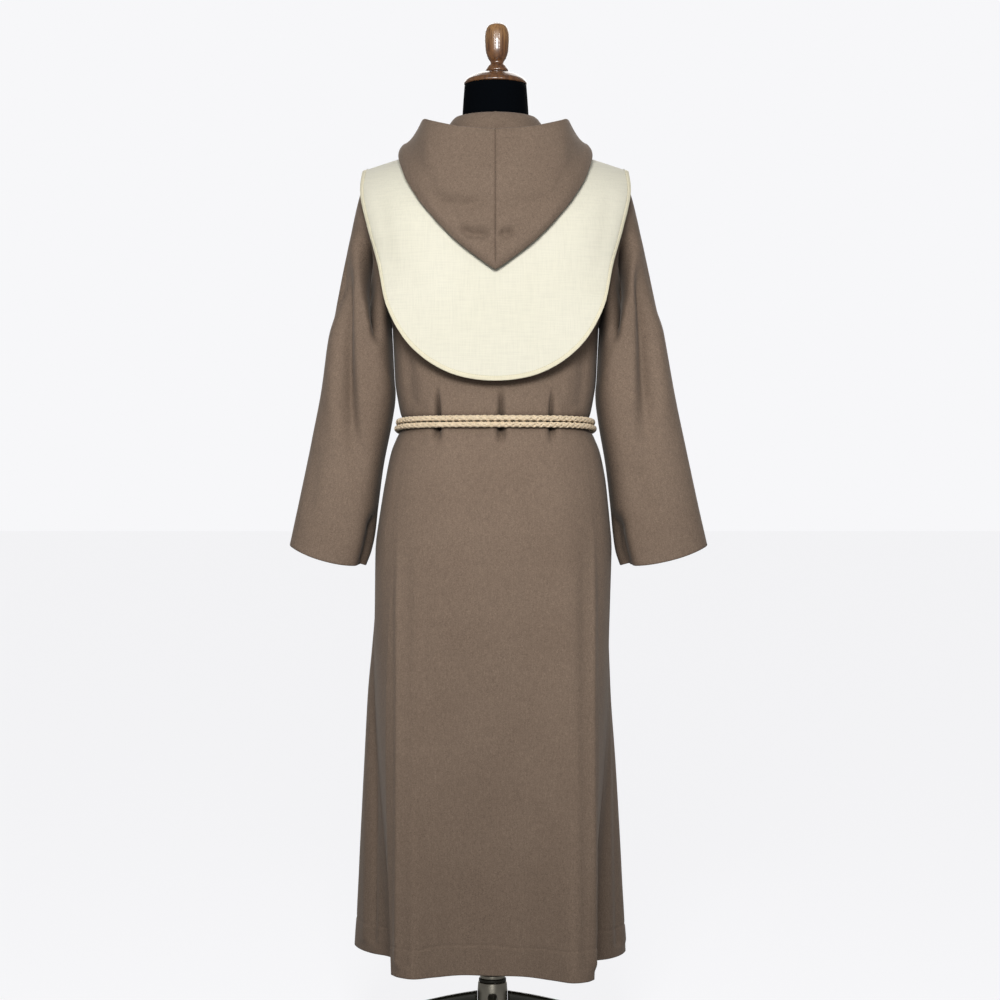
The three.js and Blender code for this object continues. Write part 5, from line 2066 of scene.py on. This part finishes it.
@dataclass(frozen=True)
class DressForm:
    """Padded torso and neck in a black cover, with a wooden neck cap and finial."""

    dresser: Dresser
    power: float = 2.15
    sides: int = 96
    finial_x: float = -2.6
    sections: tuple[tuple[float, float, float, float], ...] = (
        (700, 146, 92, 92), (712, 153, 98, 98), (780, 161, 105, 103), (860, 163, 107, 102),
        (960, 145, 96, 94),
        (1060, 122, 86, 86), (1150, 129, 98, 96), (1250, 147, 112, 108), (1330, 164, 119, 108),
        (1400, 176, 114, 96),
        (1425, 177, 105, 89), (1440, 170, 96, 81), (1450, 150, 88, 74), (1460, 120, 77, 65),
        (1472, 84, 62, 54),
        (1484, 61, 55, 51), (1500, 55.5, 53, 52), (1530, 55, 55, 53), (1565, 53, 53, 52), (1590, 51, 51, 51),
    )
    cap_profile: Keys = (
        (0, 1590.4), (51.5, 1590.4), (52.5, 1593), (50, 1598), (40, 1605), (26, 1610), (0, 1612),
    )
    finial_profile: Keys = (
        (0, 1612.4), (18.5, 1612.4), (19, 1615), (15.5, 1621), (11, 1627), (14.8, 1634), (18.4, 1644),
        (19.9, 1658),
        (20.2, 1670), (18.9, 1680), (14.8, 1688), (7.4, 1692.3), (0, 1693.3),
    )

    def torso(self) -> Piece:
        """Makes the covered torso and neck.

        Returns:
            The piece.
        """
        table = np.asarray(self.sections, float)
        heights = np.concatenate(
            [np.linspace(700, 1400, 60), np.linspace(1400, 1500, 40)[1:], np.linspace(1500, 1590, 12)[1:]]
        )
        half, back, front = (along(table[:, (0, k)], heights) for k in (1, 2, 3))
        turn = np.arange(self.sides) * 2 * math.pi / self.sides
        c, s = np.cos(turn)[None], np.sin(turn)[None]
        power = 2 / self.power
        x = half[:, None] * np.sign(c) * np.abs(c) ** power
        depth = np.where(s > 0, back[:, None], front[:, None])
        y = depth * np.sign(s) * np.abs(s) ** power
        rings = np.stack([x, y, np.broadcast_to(heights[:, None], x.shape)], axis=-1)
        return lofted("form_torso_cover", rings)

    def build(self) -> None:
        """Makes the form and its turned wood."""
        self.dresser.dress(self.torso(), Slot.COVER, "form_torso")
        cap = revolved("neck_cap_wood", rounded_profile(self.cap_profile, 3), sides=96)
        self.dresser.dress(cap, Slot.WOOD, "neck_cap")
        foot = rounded_profile(self.finial_profile[:4], 0.8)
        body = evenly(self.finial_profile[3:-1], np.linspace(0, 1, 70))
        profile = [*foot[:-1], *[(float(r), float(z)) for r, z in body], (0.0, self.finial_profile[-1][1])]
        finial = revolved("finial_wood", profile, self.finial_x, 96)
        self.dresser.dress(finial, Slot.WOOD, "finial")


@dataclass(frozen=True)
class Stand:
    """Steel pole and hub on four curved legs with round feet."""

    dresser: Dresser
    x: float = 5
    legs: int = 4
    leg_reach: float = 285
    foot_inset: float = 14
    pole: Keys = ((0, 126.4), (14, 126.4), (14, 699.6), (0, 699.6))
    collar: Keys = ((0, 118.4), (20.5, 118.4), (20.5, 123.5), (18, 126), (0, 126))
    ring: Keys = ((0, 113), (22.5, 113), (22.5, 118), (0, 118))
    hub: Keys = ((0, 60), (20, 60), (24.5, 66), (24.5, 98), (23.5, 112.6), (0, 112.6))
    foot: Keys = ((0, 0), (14, 0), (15.5, 2), (15.5, 6), (12, 8.6), (0, 8.6))
    leg_route: Keys = ((25, 86), (70, 79), (130, 66), (190, 49), (240, 31), (268, 20), (285, 17))
    leg_half_width: Keys = ((25, 8), (285, 7))
    leg_half_height: Keys = ((25, 11), (240, 8.5), (285, 8))

    def leg(self, index: int) -> Piece:
        """Makes one leg.

        Args:
            index: Quarter turns round the hub.

        Returns:
            The piece.
        """
        line = evenly(self.leg_route, np.linspace(0, 1, 60))
        radius, height = line[:, 0], line[:, 1]
        wide, tall = along(self.leg_half_width, radius), along(self.leg_half_height, radius)
        turn = np.arange(32) * 2 * math.pi / 32
        c, s = np.cos(turn), np.sin(turn)
        across = np.sign(c) * np.abs(c) ** 0.6
        above = np.sign(s) * np.abs(s) ** 0.6
        y = wide[:, None] * across[None]
        z = height[:, None] + tall[:, None] * above[None]
        angle = index * 2 * math.pi / self.legs
        out = np.broadcast_to(radius[:, None], y.shape)
        rings = np.stack(
            [
                self.x + out * math.cos(angle) - y * math.sin(angle),
                out * math.sin(angle) + y * math.cos(angle),
                z,
            ],
            axis=-1,
        )
        return lofted(f"leg_{index + 1}_casting", rings)

    def build(self) -> None:
        """Makes the whole stand."""
        turned = (
            ("pole", self.pole, Slot.STEEL, 0.6),
            ("hub_collar", self.collar, Slot.STEEL, 0.8),
            ("hub_ring", self.ring, Slot.PAINT, 1.0),
            ("hub", self.hub, Slot.STEEL, 1.6),
        )
        for name, profile, slot, easing in turned:
            piece = revolved(f"{name}_turned", rounded_profile(profile, easing), self.x, 96)
            self.dresser.dress(piece, slot, name)
        for index in range(self.legs):
            self.dresser.dress(self.leg(index), Slot.PAINT, f"leg_{index + 1}")
            angle = index * 2 * math.pi / self.legs
            reach = self.leg_reach - self.foot_inset
            foot = revolved(f"foot_{index + 1}_pad", rounded_profile(self.foot, 1.0), 0, 48)
            for vertex in foot.data.vertices:
                vertex.co.x += (self.x + reach * math.cos(angle)) * MM
                vertex.co.y += reach * math.sin(angle) * MM
            self.dresser.dress(foot, Slot.PAINT, f"foot_{index + 1}")


# ------------------------------------------------------------------------------ studio


@dataclass(frozen=True)
class Studio:
    """Camera, soft lights and a plain pale floor."""

    camera_place: Triple = (-0.0074, 3.6, 0.906)
    lens: float = 78.55
    sensor: float = 36.0
    backdrop: Colour = linear(247, 247, 249)
    ambient: float = 0.24
    floor_glow: float = 0.875
    floor_albedo: float = 0.18

    def camera(self) -> None:
        """Makes the camera, level and square to the back of the habit."""
        data = bpy.data.cameras.new("camera")
        data.lens = self.lens
        data.sensor_width = self.sensor
        camera = bpy.data.objects.new("camera", data)
        camera.location = self.camera_place
        camera.rotation_euler = (math.radians(90), 0, math.radians(180))
        bpy.context.scene.collection.objects.link(camera)
        bpy.context.scene.camera = camera

    def sun(self, name: str, towards: Triple, strength: float, degrees: float, colour: Colour) -> None:
        """Adds a broad distant light.

        Args:
            name: Name of the light.
            towards: Direction that its light travels.
            strength: Its power.
            degrees: Its apparent width.
            colour: Its colour.
        """
        data = bpy.data.lights.new(name, "SUN")
        data.energy = strength
        data.angle = math.radians(degrees)
        data.color = colour
        light = bpy.data.objects.new(name, data)
        light.rotation_euler = Vector(towards).to_track_quat("-Z", "Y").to_euler()
        bpy.context.scene.collection.objects.link(light)

    def softbox(
        self, name: str, place: Triple, size: tuple[float, float], power: float, gloss_only: bool = True
    ) -> None:
        """Adds a softbox that faces the top of the form.

        Args:
            name: Name of the light.
            place: Its place.
            size: Its width and height.
            power: Its power.
            gloss_only: Whether it shows in gloss only.
        """
        data = bpy.data.lights.new(name, "AREA")
        data.shape = "RECTANGLE"
        data.size, data.size_y = size
        data.energy = power
        light = bpy.data.objects.new(name, data)
        light.location = place
        light.rotation_euler = (Vector((0, 0, 1.5)) - Vector(place)).to_track_quat("-Z", "Y").to_euler()
        light.visible_diffuse = not gloss_only
        bpy.context.scene.collection.objects.link(light)

    def world(self) -> None:
        """Makes the even pale surroundings."""
        world = bpy.data.worlds.new("surroundings")
        world.use_nodes = True
        bpy.context.scene.world = world
        nodes, links = world.node_tree.nodes, world.node_tree.links
        light = nodes["Background"]
        light.inputs["Color"].default_value = (0.96, 0.97, 1.0, 1)
        light.inputs["Strength"].default_value = self.ambient
        seen = nodes.new("ShaderNodeBackground")
        seen.inputs["Color"].default_value = (*self.backdrop, 1)
        path = nodes.new("ShaderNodeLightPath")
        blend = nodes.new("ShaderNodeMixShader")
        links.new(path.outputs["Is Camera Ray"], blend.inputs[0])
        links.new(light.outputs[0], blend.inputs[1])
        links.new(seen.outputs[0], blend.inputs[2])
        links.new(blend.outputs[0], nodes["World Output"].inputs["Surface"])

    def floor(self) -> None:
        """Makes the plain floor."""
        mesh = bpy.data.meshes.new("floor")
        reach = 60.0
        corners = [
            (-reach, -reach, -0.0005),
            (reach, -reach, -0.0005),
            (reach, reach, -0.0005),
            (-reach, reach, -0.0005),
        ]
        mesh.from_pydata(corners, [], [(0, 1, 2, 3)])
        floor = bpy.data.objects.new("floor", mesh)
        bpy.context.scene.collection.objects.link(floor)
        bench = Bench("pale_floor")
        bench.set(
            Base_Color=(*(c * self.floor_albedo for c in self.backdrop), 1),
            Roughness=1.0,
            Specular_IOR_Level=0.0,
        )
        bench.set(Emission_Color=(*self.backdrop, 1), Emission_Strength=self.floor_glow)
        mesh.materials.append(bench.material)
        floor.visible_diffuse = False
        floor.visible_glossy = False

    def build(self) -> None:
        """Lights the studio."""
        self.softbox("key", (0.1, 2.4, 1.75), (0.6, 0.5), 52, False)
        self.sun("fill", (-0.05, -1.0, -0.1), 0.4, 30, (0.97, 0.985, 1.0))
        self.sun("front_fill", (0.1, 1.0, -0.4), 1.9, 60, (1.0, 0.975, 0.95))
        self.softbox("strip_left", (1.35, 3.0, 2.0), (0.35, 1.5), 26)
        self.softbox("strip_right", (-1.05, 3.0, 2.0), (0.35, 1.5), 26)
        self.world()
        self.floor()
        bpy.context.scene.view_settings.view_transform = "Standard"


def main() -> None:
    """Builds the habit piece by piece."""
    logging.basicConfig(level=logging.INFO, format="%(name)s %(message)s")
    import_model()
    studio = Studio()
    studio.camera()
    dresser = Dresser()
    RopeBelt(dresser).build()
    DressForm(dresser).build()
    Tunic(dresser).build()
    for side in Side:
        Sleeve(dresser, side).build()
    cape = ShoulderCape(dresser)
    cape.build()
    Hood(dresser, cape).build()
    Stand(dresser).build()
    studio.build()


if __name__ == "__main__":
    main()
